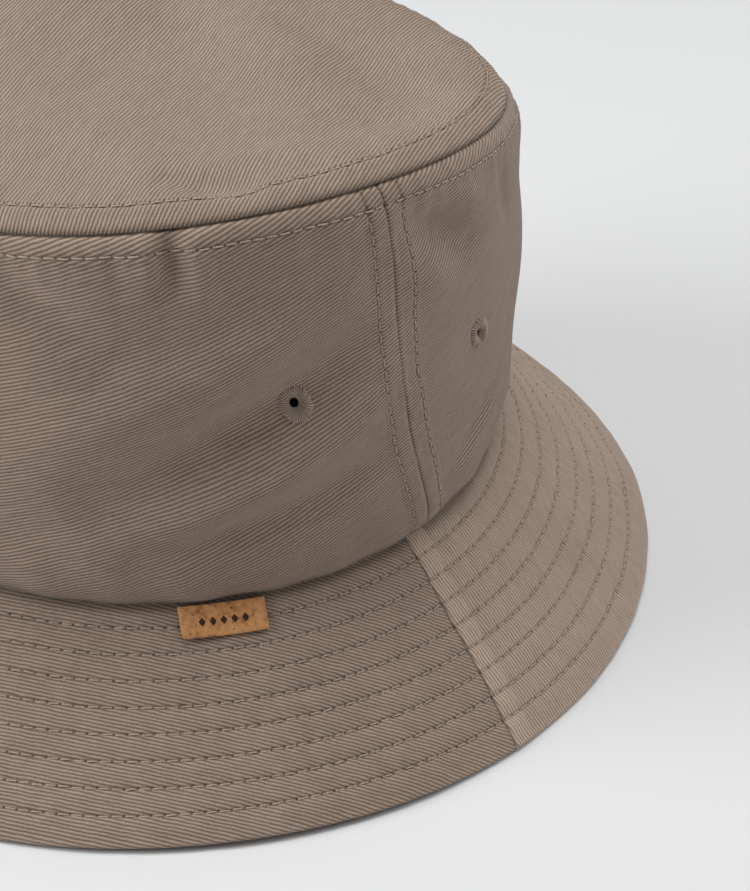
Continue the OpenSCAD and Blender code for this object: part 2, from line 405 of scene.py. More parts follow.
    def weave(self, phi: np.ndarray, s: np.ndarray) -> np.ndarray:
        """Across and along the wales of the wall's cloth."""
        _, up, world = self.outline(phi, s)
        return twill_lines(turn_between(world, half_middle(phi)) * self.radius, up, self.twill_deg)

    def stitching(self, phi: np.ndarray, s: np.ndarray) -> np.ndarray:
        """Distance to the nearest row of stitching, stitches counted along it, and wear with painted light.
        """
        x = from_side_seam(phi) * self.radius
        down = self.length - s
        beside = np.abs(np.abs(x) - self.seam_gap)
        under = np.abs(down - self.top_gap)
        nearest = np.minimum(beside, under)
        count = np.where(beside < under, s / STITCH, phi / TURN * stitches_round(self.radius))
        # Lighter on the rubbed edges just below the tip seam and on the ridges beside the side seam's groove.
        wear_and_painted_light = 0.8 * bump(down - 1.6, 1.0) + 0.5 * bump(np.abs(x) - 1.1, 0.7)
        # Painted shade: darker in the crevice over the brim, in the tip seam and in the side seam's groove.
        wear_and_painted_light -= 1.0 * bump(s, 1.2) + 1.1 * bump(down, 0.7) + 0.35 * bump(x, 0.3)
        return np.stack([nearest, count, np.clip(wear_and_painted_light, -1, 1)], -1)


@dataclass(frozen=True)
class Dent:
    """A long hollow in the tip, or a ridge where its depth is negative, between two places seen from above.

    Attributes:
        start: x and y of one end.
        end: x and y of the other.
        depth: how deep it is.
        width: how far it spreads to each side.
    """

    start: tuple[float, float]
    end: tuple[float, float]
    depth: float
    width: float

    def at(self, points: np.ndarray) -> np.ndarray:
        """The height that this dent adds at points."""
        a, b = np.array(self.start), np.array(self.end)
        ahead = b - a
        along = np.clip((points[..., :2] - a) @ ahead / (ahead @ ahead), 0, 1)
        away = np.linalg.norm(points[..., :2] - a - along[..., None] * ahead, axis=-1)
        return -self.depth * bump(away, self.width) * (0.55 + 0.45 * np.sin(math.pi * along))


@dataclass
class TipFace(Face):
    """The tip's upper face. s runs from the tip seam in to the middle.

    Attributes:
        wall: the wall that it is sewn to.
        middle_z: height of the tip's middle before it puffs up.
        puff: how far it rises just inside the seam.
        puff_reach: how quickly it does.
        gap: from the seam in to the stitching.
        twill_deg: which way the wales run.
        dents: its hollows and ridges.
    """

    wall: WallFace
    middle_z: float = 136.5
    puff: float = 5.8
    puff_reach: float = 3.6
    gap: float = 5.2
    twill_deg: float = 117
    dents: Sequence[Dent] = (
        Dent((60, -44), (74, -38), 3.2, 5.0), Dent((66, -28), (74, -14), -1.2, 6),
        Dent((-14, 26), (34, -6), 2.2, 12), Dent((8, 42), (62, 34), 2.2, 10),
        Dent((60, 8), (78, 22), 1.0, 6), Dent((-30, -30), (30, -52), -1.2, 16))

    def __post_init__(self) -> None:
        """Draws the irregular parts of the cloth."""
        self.radius = self.wall.line[-1][0]
        self.places = np.linspace(-2, self.radius, 400)
        steepness = self.puff / self.puff_reach * np.exp(-np.clip(self.places, 0, None) / self.puff_reach)
        step = self.places[1] - self.places[0]
        self.extra = np.cumsum((np.hypot(1, steepness) - 1)[::-1])[::-1] * step
        self.pucker = RoundRipple(21, 7.5, self.radius)
        self.folds = RoundRipple(22, 20, self.radius)
        self.sag = Ripple(23, 52)
        self.crumple = Ripple(24, 21)

    def world(self, phi: np.ndarray) -> np.ndarray:
        """World angle of a place: the tip turns with the top of the wall."""
        return phi + self.wall.twist(np.array(self.wall.full_h))

    def base(self, phi: np.ndarray, s: np.ndarray) -> np.ndarray:
        """The smooth tip."""
        r = self.radius - s
        world = self.world(phi)
        share = np.clip(r / self.radius, 0, 1.02) ** 2.5
        z = self.wall.top_z(world) * share + self.middle_z * (1 - share)
        z = z + self.puff * (1 - np.exp(-np.clip(s, -2, None) / self.puff_reach))
        return on_circle(r, world, z)

    def height(self, phi: np.ndarray, s: np.ndarray) -> np.ndarray:
        """The allowance, the stitched groove, puckers and slack cloth."""
        smooth = self.base(phi, s)
        h = self.allowance_t * rise(s, 7.0, 6.0) * rise(s, 0, 0.8)
        h += self.sewn(s - self.gap, phi / TURN * stitches_round(self.radius))
        h += (0.12 * self.pucker.at(phi) + 0.14 * self.folds.at(phi)) * bump(s - 6, 8) * rise(s, 0, 3)
        body = rise(s, 3, 22)
        h += body * (0.9 * self.sag.at(smooth) + 0.16 * self.crumple.at(smooth))
        for dent in self.dents:
            h += dent.at(smooth) * rise(s, 0, 5)
        return h

    def weave(self, phi: np.ndarray, s: np.ndarray) -> np.ndarray:
        """Across and along the wales of the tip's cloth."""
        flat_r = self.radius - s + np.interp(s, self.places, self.extra)
        world = self.world(phi)
        return twill_lines(flat_r * np.cos(world), flat_r * np.sin(world), self.twill_deg)

    def stitching(self, phi: np.ndarray, s: np.ndarray) -> np.ndarray:
        """Distance to the row of stitching, stitches counted along it, and wear with painted light."""
        count = phi / TURN * stitches_round(self.radius) + 0 * s
        # Lighter on the rubbed rolled edge just inside the seam, with painted shade in the seam line itself.
        wear_and_painted_light = 0.8 * bump(s - 1.4, 0.9) + 0.3 * bump(s - 3, 2) - 1.0 * bump(s, 0.6)
        return np.stack([np.abs(s - self.gap) + 0 * phi, count, np.clip(wear_and_painted_light, -1, 1) + 0 * phi], -1)


@dataclass
class BrimFace(Face):
    """One face of the brim. s runs down its slope from the brim seam.

    Attributes:
        size: the frame's sizes.
        under: True for the lower face.
        first_row: from the seam to the first row of stitching.
        pitch: between two rows.
        rows: how many rows.
        puff: how far the cloth swells between two rows.
        seam_turn_deg: how far the brim's own seams have turned where they meet the wall.
        rim_turn_deg: the same at the rim.
        under_gap: from the smooth upper face to the lower one.
        twill_deg: which way the wales run on a half laid flat.
    """

    size: HatSize
    under: bool = False
    first_row: float = 6
    pitch: float = 6.6
    rows: int = 8
    puff: float = 0.34
    seam_turn_deg: float = 2.7
    rim_turn_deg: float = -0.95
    under_gap: float = 1.45
    twill_deg: float = 24

    def __post_init__(self) -> None:
        """Draws the irregular parts of the cloth."""
        reach = self.size.rim_r
        self.row_s = self.first_row + self.pitch * np.arange(self.rows)
        self.pucker = [RoundRipple(31 + k, 7.5, reach) for k in range(self.rows)]
        self.channel = Ripple(43, 9)
        self.crumple = Ripple(44, 24)
        self.wave = RoundRipple(45, 210, reach, 5)

    def holes(self, k: int) -> int:
        """How many stitches the row k has round the brim."""
        return stitches_round(self.size.wall_in + self.row_s[k] * math.cos(self.size.slope))

    def world(self, phi: np.ndarray, s: np.ndarray) -> np.ndarray:
        """World angle of a place: the brim's own seams lean a little."""
        share = np.clip(s / self.size.brim_w, 0, 1)
        return phi + np.radians(self.seam_turn_deg * (1 - share) + self.rim_turn_deg * share)

    def base(self, phi: np.ndarray, s: np.ndarray) -> np.ndarray:
        """The smooth slope, with a slow wave in its outer part that never goes below the ground."""
        a = self.size.slope
        n = -self.under_gap if self.under else 0.1
        world = self.world(phi, s)
        r = self.size.wall_in + s * math.cos(a) + n * math.sin(a)
        lift = 0.45 * (1 + self.wave.at(world)) * np.clip(s / self.size.brim_w, 0, 1) ** 2
        return on_circle(r, world, self.size.seam_z - s * math.sin(a) + n * math.cos(a) + lift)

    def normal(self, phi: np.ndarray, s: np.ndarray) -> np.ndarray:
        """The unit normal, up the way from the upper face and down from the lower one."""
        up = on_circle(math.sin(self.size.slope), self.world(phi, s), math.cos(self.size.slope))
        return -up if self.under else up

    def from_seam(self, phi: np.ndarray, s: np.ndarray) -> np.ndarray:
        """Signed distance round the brim from the nearest of its two seams."""
        return from_side_seam(phi) * (self.size.wall_in + s * math.cos(self.size.slope))

    def behind_seam(self, phi: np.ndarray, s: np.ndarray) -> np.ndarray:
        """Distance from the nearest seam toward the back of the hat, negative in front of it."""
        return self.from_seam(phi, s) * np.where(np.cos(phi) > 0, 1, -1)

    def height(self, phi: np.ndarray, s: np.ndarray) -> np.ndarray:
        """Quilted channels, stitched grooves, puckers and the two seams."""
        smooth = self.base(phi, s)
        place = (s - self.first_row) / self.pitch
        inside = (place > 0) & (place < self.rows - 1)
        share = np.where(inside, place % 1, 0.5)
        h = self.puff * np.sin(math.pi * np.clip(share, 0, 1)) ** 0.8 * inside
        last = self.row_s[-1]
        hem = np.clip((s - last) / (self.size.brim_w - 0.4 - last), 0, 1)
        h += (self.puff + 0.12) * np.sin(math.pi * np.clip(hem, 0, 1) ** 0.8) ** 0.8
        collar = np.clip(s / self.first_row, 0, 1)
        h += 0.22 * np.sin(math.pi * collar) ** 0.8
        for k, row in enumerate(self.row_s):
            d = s - row
            h -= 0.3 * bump(d, 0.42)
            holes = self.holes(k)
            h += 0.06 * np.cos(phi * holes) * bump(np.abs(d) - 0.7, 0.7)
            h += 0.13 * self.pucker[k].at(phi) * bump(d, 2.0)
        h += 0.11 * self.channel.at(smooth) * rise(s, 1, 5)
        h += 0.22 * self.crumple.at(smooth) * rise(s, 2, 16) * rise(s, self.size.brim_w, self.size.brim_w - 6)
        h -= 0.16 * bump(self.from_seam(phi, s), 0.35)
        back_side = self.behind_seam(phi, s)
        h += 0.3 * rise(back_side, 0.0, 0.7) * rise(back_side, 6.4, 5.6) * rise(s, 0, 4)
        h += 0.12 * bump(back_side - 2.5, 4) * np.sin(TURN * s / 6.1 + 2 * np.sin(s / 7))
        return h * (0.8 if self.under else 1)

    def weave(self, phi: np.ndarray, s: np.ndarray) -> np.ndarray:
        """Across and along the wales: each half is cut flat, as a sector of the unrolled cone."""
        a = self.size.slope
        flat_r = (self.size.wall_in + s * math.cos(a)) / math.cos(a)
        turn = turn_between(self.world(phi, s), half_middle(phi)) * math.cos(a)
        lines = twill_lines(flat_r * np.sin(turn), -flat_r * np.cos(turn), self.twill_deg)
        lines[..., 0] += 0.07 * np.sin(TURN * (s - self.first_row) / self.pitch)
        return lines

    def stitching(self, phi: np.ndarray, s: np.ndarray) -> np.ndarray:
        """Distance to the nearest row of stitching, stitches counted along it, and wear with painted light.
        """
        k = np.clip(np.rint((s - self.first_row) / self.pitch), 0, self.rows - 1).astype(int)
        holes = np.array([self.holes(i) for i in range(self.rows)])
        behind = self.behind_seam(phi, s)
        # Lighter on the rubbed rim, with painted shadow where the brim runs in under the wall.
        wear_and_painted_light = 0.8 * bump(s - self.size.brim_w, 1.3) - 0.9 * bump(s - 0.4, 1.5)
        # A painted highlight on the raised band behind each brim seam, and painted shade in the seam line.
        wear_and_painted_light += 1.0 * rise(behind, 0, 0.4) * rise(behind, 7.0, 6.2) - 0.35 * bump(behind + 0.2, 0.3)
        away = np.abs(s - self.row_s[k]) + 0 * phi
        return np.stack([away, phi / TURN * holes[k], np.clip(wear_and_painted_light, -1, 1)], -1)


# ---------------------------------------------------------------- meshes

@dataclass
class Cloth:
    """One face of a piece of cloth, as a grid.

    Attributes:
        points: rows x columns x 3. Rows follow one another to the left of a walk along the columns, seen
            from the side that shows.
        back: the direction from each point to the cloth's other face, as unit vectors.
        weave: rows x columns x 2, how far each point is across and along the wales.
        stitch: rows x columns x 3, distance to the nearest row of stitching, stitches counted along it, and
        wear with painted light, from -1 for painted shade in a seam groove or crevice to 1 on rubbed edges
        and painted highlights.
        closed: the last column meets the first.
        keep: rows x columns of cells, False where the cloth has a hole, or None.
        centre: a point that closes the last row, or None.
    """

    points: np.ndarray
    back: np.ndarray
    weave: np.ndarray
    stitch: np.ndarray
    closed: bool = False
    keep: np.ndarray | None = None
    centre: np.ndarray | None = None


def quads(here: np.ndarray, there: np.ndarray, k: np.ndarray, after: np.ndarray) -> np.ndarray:
    """Corners of the cells between rows that start at here and there, from column k to the one after."""
    return np.stack([here + k, here + after, there + after, there + k], -1)


def drop_unused(count: int, *groups: np.ndarray) -> tuple[np.ndarray, list[list[int]]]:
    """Leaves out the points that no face needs.

    Args:
        count: how many points there are.
        groups: faces, one array for each number of corners.

    Returns:
        Numbers of the points that stay, and every face with its corners numbered anew.
    """
    used = np.unique(np.concatenate([g.ravel() for g in groups]))
    renumber = np.zeros(count, int)
    renumber[used] = np.arange(len(used))
    return used, [face for g in groups for face in renumber[g].tolist()]


def new_object(name: str, verts: np.ndarray, faces: list[list[int]], finish: bpy.types.Material,
               crease_deg: float = 60, **layers: np.ndarray) -> bpy.types.Object:
    """Makes a smooth-shaded mesh object.

    Args:
        name: the piece's name.
        verts: points in millimetres.
        faces: corner numbers of each face.
        finish: the piece's material.
        crease_deg: edges sharper than this stay sharp.
        layers: values at each point for the finish to read, by name.

    Returns:
        The new object, in metres.
    """
    mesh = bpy.data.meshes.new(name)
    mesh.from_pydata((np.asarray(verts) * MM).tolist(), [], faces)
    for layer, values in layers.items():
        full = np.zeros((len(verts), 3), np.float32)
        full[:, :values.shape[-1]] = values
        mesh.attributes.new(layer, "FLOAT_VECTOR", "POINT").data.foreach_set("vector", full.ravel())
    mesh.polygons.foreach_set("use_smooth", np.ones(len(mesh.polygons), bool))
    mesh.set_sharp_from_angle(angle=math.radians(crease_deg))
    mesh.materials.append(finish)
    mesh.validate()
    piece = bpy.data.objects.new(name, mesh)
    bpy.context.scene.collection.objects.link(piece)
    return piece


def cloth_object(name: str, cloth: Cloth, thickness: float, finish: bpy.types.Material) -> bpy.types.Object:
    """Gives a grid of cloth its thickness and closes its edges.

    Args:
        name: the piece's name.
        cloth: the face that shows.
        thickness: of the cloth.
        finish: the piece's material.

    Returns:
        A closed mesh object.
    """
    rows, columns = cloth.points.shape[:2]
    i, j = grid_of(np.arange(rows - 1), np.arange(columns if cloth.closed else columns - 1))
    cells = quads(i * columns, (i + 1) * columns, j, (j + 1) % columns)
    cells = cells[cloth.keep] if cloth.keep is not None else cells.reshape(-1, 4)
    front, back = cloth.points.reshape(-1, 3), cloth.back.reshape(-1, 3)
    weave, stitch = cloth.weave.reshape(-1, 2), cloth.stitch.reshape(-1, 3)
    fan = np.zeros((0, 3), int)
    if cloth.centre is not None:
        last = (rows - 1) * columns + np.arange(columns)
        fan = np.stack([last, np.roll(last, -1), np.full(columns, rows * columns)], -1)
        front, back = np.vstack([front, cloth.centre]), np.vstack([back, back[last].mean(0)])
        weave, stitch = np.vstack([weave, weave[last].mean(0)]), np.vstack([stitch, stitch[last].mean(0)])
    count = len(front)
    start = np.concatenate([cells.ravel(), fan.ravel()])
    end = np.concatenate([np.roll(cells, -1, axis=1).ravel(), np.roll(fan, -1, axis=1).ravel()])
    lone = ~np.isin(start * count + end, end * count + start)
    rim = np.stack([end[lone], start[lone], start[lone] + count, end[lone] + count], -1)
    verts = np.concatenate([front, front + back * thickness])
    used, faces = drop_unused(2 * count, np.concatenate([cells, cells[:, ::-1] + count, rim]),
                              np.concatenate([fan, fan[:, ::-1] + count]))
    return new_object(name, verts[used], faces, finish, weave=np.tile(weave, (2, 1))[used],
                      stitch=np.tile(stitch, (2, 1))[used])


def loop_object(name: str, rings: np.ndarray, finish: bpy.types.Material, closed: bool = True,
                crease_deg: float = 60, **layers: np.ndarray) -> bpy.types.Object:
    """Joins closed rings of points into a tube.

    Args:
        name: the piece's name.
        rings: rings x points x 3, each ring one section of the tube.
        finish: the piece's material.
        closed: the last ring meets the first; otherwise each end gets a flat cap.
        crease_deg: edges sharper than this stay sharp.
        layers: rings x points x up to 3 of values for the finish to read.

    Returns:
        A closed mesh object.
    """
    count, around = rings.shape[:2]
    i, k = grid_of(np.arange(count if closed else count - 1), np.arange(around))
    faces = quads(i * around, (i + 1) % count * around, k, (k + 1) % around).reshape(-1, 4).tolist()
    if not closed:
        faces += [list(range(around))[::-1], list(range((count - 1) * around, count * around))]
    flat = {n: v.reshape(count * around, -1) for n, v in layers.items()}
    return new_object(name, rings.reshape(-1, 3), faces, finish, crease_deg, **flat)


@dataclass
class Thread:
    """A sewing thread and how its stitches lie.

    Attributes:
        radius: of the thread.
        short: share of a stitch's length that shows between its needle holes.
        wander: how far stitches stray from the row.
        sides: of the thread's section.
    """

    radius: float = 0.21
    short: float = 0.93
    wander: float = 0.05
    sides: int = 6

    def lay(self, holes: np.ndarray, up: np.ndarray, closed: bool,
            seed: int) -> tuple[np.ndarray, list[list[int]], np.ndarray]:
        """Lays one bent bit of thread from each needle hole to the next.

        Args:
            holes: the needle holes, in order along the row.
            up: the cloth's normal at each hole.
            closed: the last hole leads back to the first.
            seed: for the small wander of hand-guided cloth.

        Returns:
            Points, faces, and stitches counted along and turns round the thread at each point.
        """
        if closed:
            holes, up = np.vstack([holes, holes[:1]]), np.vstack([up, up[:1]])
        rng = np.random.default_rng(seed)
        a, b = holes[:-1], holes[1:]
        n = up[:-1] + up[1:]
        n /= np.linalg.norm(n, axis=1, keepdims=True)
        ahead = b - a
        length = np.linalg.norm(ahead, axis=1, keepdims=True)
        ahead /= length
        side = np.cross(n, ahead)
        side /= np.linalg.norm(side, axis=1, keepdims=True)
        x = np.array([-0.5, -0.45, -0.35, -0.18, 0, 0.18, 0.35, 0.45, 0.5])
        girth = np.array([0.4, 0.75, 1, 1, 1, 1, 1, 0.75, 0.4]) * self.radius
        lift = np.array([-1.6, -0.6, 0.4, 0.8, 0.9, 0.8, 0.4, -0.6, -1.6]) * self.radius
        sway = rng.normal(0, self.wander, (2, len(a), 1))
        middle = ((a + b) / 2)[:, None] + ahead[:, None] * (x * length * self.short)[..., None]
        middle = middle + n[:, None] * lift[:, None] + side[:, None] * (sway[0] + sway[1] * 2 * x)[..., None]
        turn = np.linspace(0, TURN, self.sides, endpoint=False)
        ring = np.cos(turn)[:, None, None] * side + np.sin(turn)[:, None, None] * n
        verts = middle[:, :, None] + ring.transpose(1, 0, 2)[:, None] * girth[:, None, None]
        count, rings = len(a), len(x)
        along = np.arange(count)[:, None, None] + 0.5 + x[:, None] + np.zeros(self.sides)
        around = np.zeros((count, rings, 1)) + turn / TURN
        s, r, k = np.meshgrid(np.arange(count), np.arange(rings - 1), np.arange(self.sides), indexing="ij")
        here = (s * rings + r) * self.sides
        faces = quads(here, here + self.sides, k, (k + 1) % self.sides).reshape(-1, 4).tolist()
        first = np.arange(count)[:, None] * rings * self.sides
        caps = np.arange(self.sides)
        faces += (first + caps[::-1]).tolist() + (first + (rings - 1) * self.sides + caps).tolist()
        return verts.reshape(-1, 3), faces, np.stack([along, around], -1).reshape(-1, 2)

    def sew(self, name: str, runs: Sequence[tuple[np.ndarray, np.ndarray, bool]], finish: bpy.types.Material,
            seed: int) -> bpy.types.Object:
        """Sews rows of stitches as one piece.

        Args:
            name: the piece's name.
            runs: each row's needle holes, the cloth's normals there, and whether the row is a closed ring.
            finish: the thread's material.
            seed: for the wander of the stitches.

        Returns:
            The piece.
        """
        points, faces, weave, total = [], [], [], 0
        for number, (holes, up, closed) in enumerate(runs):
            v, f, w = self.lay(holes, up, closed, seed + number)
            faces += [[c + total for c in face] for face in f]
            points.append(v)
            weave.append(w)
            total += len(v)
        return new_object(name, np.vstack(points), faces, finish, 80, weave=np.vstack(weave))


# ---------------------------------------------------------------- finishes

def linear(hex_colour: str) -> tuple[float, float, float, float]:
    """Turns an sRGB hex colour into linear values with an alpha of 1."""
    channels = [int(hex_colour.lstrip("#")[i:i + 2], 16) / 255 for i in (0, 2, 4)]
    r, g, b = (c / 12.92 if c <= 0.04045 else ((c + 0.055) / 1.055) ** 2.4 for c in channels)
    return r, g, b, 1.0


class Graph:
    """A material's node tree while it is being built."""

    def __init__(self, name: str, roughness: float, **sockets: float) -> None:
        """Starts a material with its shader.

        Args:
            name: the real material's name.
            roughness: of the whole surface.
            sockets: other values of the shader that are the same all over, named with underscores for spaces.
        """
        self.material = bpy.data.materials.new(name)
        self.material.use_nodes = True
        self.tree = self.material.node_tree
        self.shader = self.tree.nodes["Principled BSDF"]
        self.shader.inputs["Roughness"].default_value = roughness
        for socket, value in sockets.items():
            self.shader.inputs[socket.replace("_", " ")].default_value = value

    def add(self, kind: str, inputs: dict[int | str, Any] | None = None, **settings: Any) -> bpy.types.Node:
        """Adds a node.

        Args:
            kind: its type, without the ShaderNode prefix.
            inputs: a value or another node's output for each input.
            settings: its own properties.

        Returns:
            The node.
        """
        node = self.tree.nodes.new("ShaderNode" + kind)
        for name, value in settings.items():
            setattr(node, name, value)
        for key, value in (inputs or {}).items():
            if isinstance(value, bpy.types.NodeSocket):
                self.tree.links.new(value, node.inputs[key])
            else:
                node.inputs[key].default_value = value
        return node

    def sum(self, operation: str, *values: Any) -> bpy.types.NodeSocket:
        """The result of a Math node on one to three values."""
        return self.add("Math", dict(enumerate(values)), operation=operation).outputs[0]

    def parts(self, layer: str) -> list[bpy.types.NodeSocket]:
        """The components of a layer of values on the mesh."""
        source = self.add("Attribute", attribute_name=layer)
        return list(self.add("SeparateXYZ", {0: source.outputs["Vector"]}).outputs)

    def times(self, a: Any, b: Any) -> bpy.types.NodeSocket:
        """One value times another."""
        return self.sum("MULTIPLY", a, b)

    def weighted(self, *terms: tuple[Any, float]) -> bpy.types.NodeSocket:
        """The sum of values, each times its weight."""
        total = self.times(*terms[0])
        for term in terms[1:]:
            total = self.sum("ADD", total, self.times(*term))
        return total

    def centred(self, value: Any, weight: float) -> bpy.types.NodeSocket:
        """A value between 0 and 1, moved to lie evenly about 0, times a weight."""
        return self.times(self.sum("SUBTRACT", value, 0.5), weight)

    def waves(self, turns: Any) -> bpy.types.NodeSocket:
        """Waves between 0 and 1, one for each turn, with a crest where the turns are whole."""
        return self.span(self.sum("COSINE", self.times(turns, TURN)), -1, 1)

    def noise(self, size_mm: float, detail: float = 2) -> bpy.types.NodeSocket:
        """Noise between 0 and 1 with lumps of a size, in the object's own space."""
        return self.noise_along(self.add("TexCoord").outputs["Object"], size_mm * MM, detail)

    def noise_along(self, vector: Any, size: float = 1.0, detail: float = 2) -> bpy.types.NodeSocket:
        """Noise between 0 and 1 along a vector, with lumps of a size in the vector's own unit."""
        return self.add("TexNoise", {"Vector": vector, "Scale": 1 / size, "Detail": detail}).outputs["Fac"]

    def vector(self, x: Any, y: Any) -> bpy.types.NodeSocket:
        """A vector from its first two components."""
        return self.add("CombineXYZ", {0: x, 1: y}).outputs[0]

    def ramp(self, value: Any, *stops: tuple[float, str]) -> bpy.types.NodeSocket:
        """Colours along a value, from (place, hex colour) stops."""
        node = self.add("ValToRGB", {0: value})
        elements = node.color_ramp.elements
        while len(elements) < len(stops):
            elements.new(1.0)
        for element, (place, colour) in zip(elements, stops):
            element.position = place
            element.color = linear(colour)
        return node.outputs["Color"]

    def span(self, value: Any, low: float, high: float, to_low: float = 0.0,
             to_high: float = 1.0) -> bpy.types.NodeSocket:
        """The value moved from one range to another, and kept inside it."""
        return self.add("MapRange", {0: value, 1: low, 2: high, 3: to_low, 4: to_high}, clamp=True).outputs[0]

    def mix(self, factor: Any, a: Any, b: Any, blend: str = "MIX") -> bpy.types.NodeSocket:
        """Two colours mixed."""
        node = self.add("Mix", {0: factor, 6: a, 7: b}, data_type="RGBA", blend_type=blend)
        return node.outputs[2]

    def done(self, colour: Any, height: Any = None, depth_mm: float = 0.1,
             strength: float = 1.0) -> bpy.types.Material:
        """Connects the colour and the relief, and returns the material.

        Args:
            colour: the base colour.
            height: relief between 0 and 1, or None.
            depth_mm: how deep a relief of 1 is.
            strength: how strongly the relief shows.
        """
        self.tree.links.new(colour, self.shader.inputs["Base Color"])
        if height is not None:
            relief = self.add("Bump", {"Height": height, "Strength": strength, "Distance": depth_mm * MM})
            self.tree.links.new(relief.outputs["Normal"], self.shader.inputs["Normal"])
        return self.material


@dataclass(frozen=True)
class CottonTwill:
    """Dyed cotton twill, woven 2/1 and brushed. Its wales give fine slanting lines, light on their crowns
    and dark between them, and its cut fibres give a soft edge light."""

    name: str = "cotton twill"
    crown: str = "#B4A08F"
    side: str = "#8D7A6B"
    gutter: str = "#65554A"
    wale_mm: float = 0.93
    bead_mm: float = 0.55
    depth: float = 0.75

    def material(self) -> bpy.types.Material:
        """Builds the finish from the mesh's weave and stitch layers, both in millimetres."""
        g = Graph(self.name, 0.92, Sheen_Weight=0.12, Sheen_Roughness=0.55, Specular_IOR_Level=0.25)
        across, along, _ = g.parts("weave")
        where, count, wear_and_painted_light = g.parts("stitch")
        place = g.sum("ADD", g.sum("DIVIDE", across, self.wale_mm), g.centred(g.noise(6.0), 0.5))
        place = g.sum("ADD", place, g.centred(g.noise(0.9), 0.35))
        wale = g.sum("POWER", g.waves(place), 0.7)
        bead = g.waves(g.sum("ADD", g.sum("DIVIDE", along, self.bead_mm), g.times(place, 0.5)))
        slub = g.noise_along(g.vector(g.times(g.sum("ROUND", place), 1.7), g.times(along, 0.12)))
        tone = g.sum("ADD", g.weighted((wale, 0.8), (bead, 0.14)), g.centred(slub, 0.35))
        colour = g.ramp(tone, (0.0, self.gutter), (0.45, self.side), (1.0, self.crown))
        phase = g.sum("ABSOLUTE", g.sum("SUBTRACT", g.sum("FRACT", g.sum("ADD", count, 0.5)), 0.5))
        hole = g.times(g.span(where, 0.18, 0.6, 1, 0), g.span(phase, 0.04, 0.12, 1, 0))
        shade = g.span(g.noise(38, 3), 0.3, 0.7, 0.955, 1.045)
        for factor in (g.span(g.noise(0.35, 2), 0.3, 0.75, 0.93, 1.05),
                       # Painted shade in the needle-hole pits.
                       g.sum("SUBTRACT", 1.0, g.times(hole, 0.3)),
                       # Painted shade along the grooves of the stitched rows.
                       g.span(where, 0.1, 0.62, 0.74, 1),
                       # Painted shade in seams and crevices where the layer is below 0. Above 0 it lightens
                       # rubbed edges and the painted highlights.
                       g.span(wear_and_painted_light, -1, 0, 0.42, 1),
                       g.span(wear_and_painted_light, 0, 1, 1, 1.13)):
            shade = g.times(shade, factor)
        tint = g.add("CombineColor", {0: shade, 1: shade, 2: shade}).outputs[0]
        relief = g.sum("SUBTRACT", g.weighted((wale, 0.8), (bead, 0.2)), g.times(hole, 0.8))
        return g.done(g.mix(1.0, colour, tint, "MULTIPLY"), relief, 0.2, self.depth)


@dataclass(frozen=True)
class SpunThread:
    """Spun polyester sewing thread: two plies that wind round each other, a little paler and greyer than the
    cloth, with a faint shine."""

    light: str = "#C3AF9C"
    dark: str = "#93806F"
    twists_per_stitch: float = 4.5

    def material(self) -> bpy.types.Material:
        """Builds the finish from stitches counted along the thread and turns round it."""
        g = Graph("spun polyester thread", 0.7, Sheen_Weight=0.15, Specular_IOR_Level=0.35)
        along, around, _ = g.parts("weave")
        band = g.waves(g.sum("ADD", g.times(along, self.twists_per_stitch), around))
        tone = g.weighted((band, 0.6), (g.noise(0.5), 0.5))
        return g.done(g.ramp(tone, (0.1, self.dark), (0.85, self.light)), band, 0.06, 0.6)


@dataclass(frozen=True)
class SatinStitch:
    """Rayon embroidery thread laid side by side, as round an eyelet: smooth, with a soft silky light."""

    light: str = "#BBA898"
    dark: str = "#655347"

    def material(self) -> bpy.types.Material:
        """Builds the finish from turns counted thread by thread and the distance from the hole."""
        g = Graph("rayon satin stitching", 0.55, Sheen_Weight=0.2, Specular_IOR_Level=0.45)
        count, out, _ = g.parts("weave")
        fibre = g.noise_along(g.vector(g.times(count, 4.0), g.times(out, 0.4)))
        tone = g.weighted((g.waves(count), 0.7), (fibre, 0.4))
        return g.done(g.ramp(tone, (0.05, self.dark), (0.95, self.light)), tone, 0.12, 0.7)


@dataclass(frozen=True)
class WovenTape:
    """Plain-woven tape or lining: warp and weft cross over and under, which gives a fine even check."""

    name: str
    light: str
    dark: str
    yarn_mm: float = 0.8
    sheen: float = 0.1
    roughness: float = 0.9

    def material(self) -> bpy.types.Material:
        """Builds the finish from the mesh's weave layer in millimetres."""
        g = Graph(self.name, self.roughness, Sheen_Weight=self.sheen, Specular_IOR_Level=0.25)
        x, y, _ = g.parts("weave")
        warp, weft = (g.sum("SINE", g.times(way, TURN / self.yarn_mm)) for way in (x, y))
        cross = g.span(g.times(warp, weft), -1, 1)
        tone = g.weighted((cross, 0.7), (g.noise(2.5, 3), 0.4))
        return g.done(g.ramp(tone, (0.1, self.dark), (0.95, self.light)), cross, 0.1, 0.6)


@dataclass(frozen=True)
class NonWoven:
    """Pressed polyester interlining, as inside a brim: a flat tangle of white fibres."""

    light: str = "#E4E1DA"
    dark: str = "#C4BFB5"

    def material(self) -> bpy.types.Material:
        """Builds the finish from noise at the size of the tangle."""
        g = Graph("polyester interlining", 0.85, Sheen_Weight=0.1)
        tangle = g.weighted((g.noise(0.7, 4), 0.6), (g.noise(4, 3), 0.4))
        return g.done(g.ramp(tangle, (0.3, self.dark), (0.7, self.light)), tangle, 0.08, 0.5)


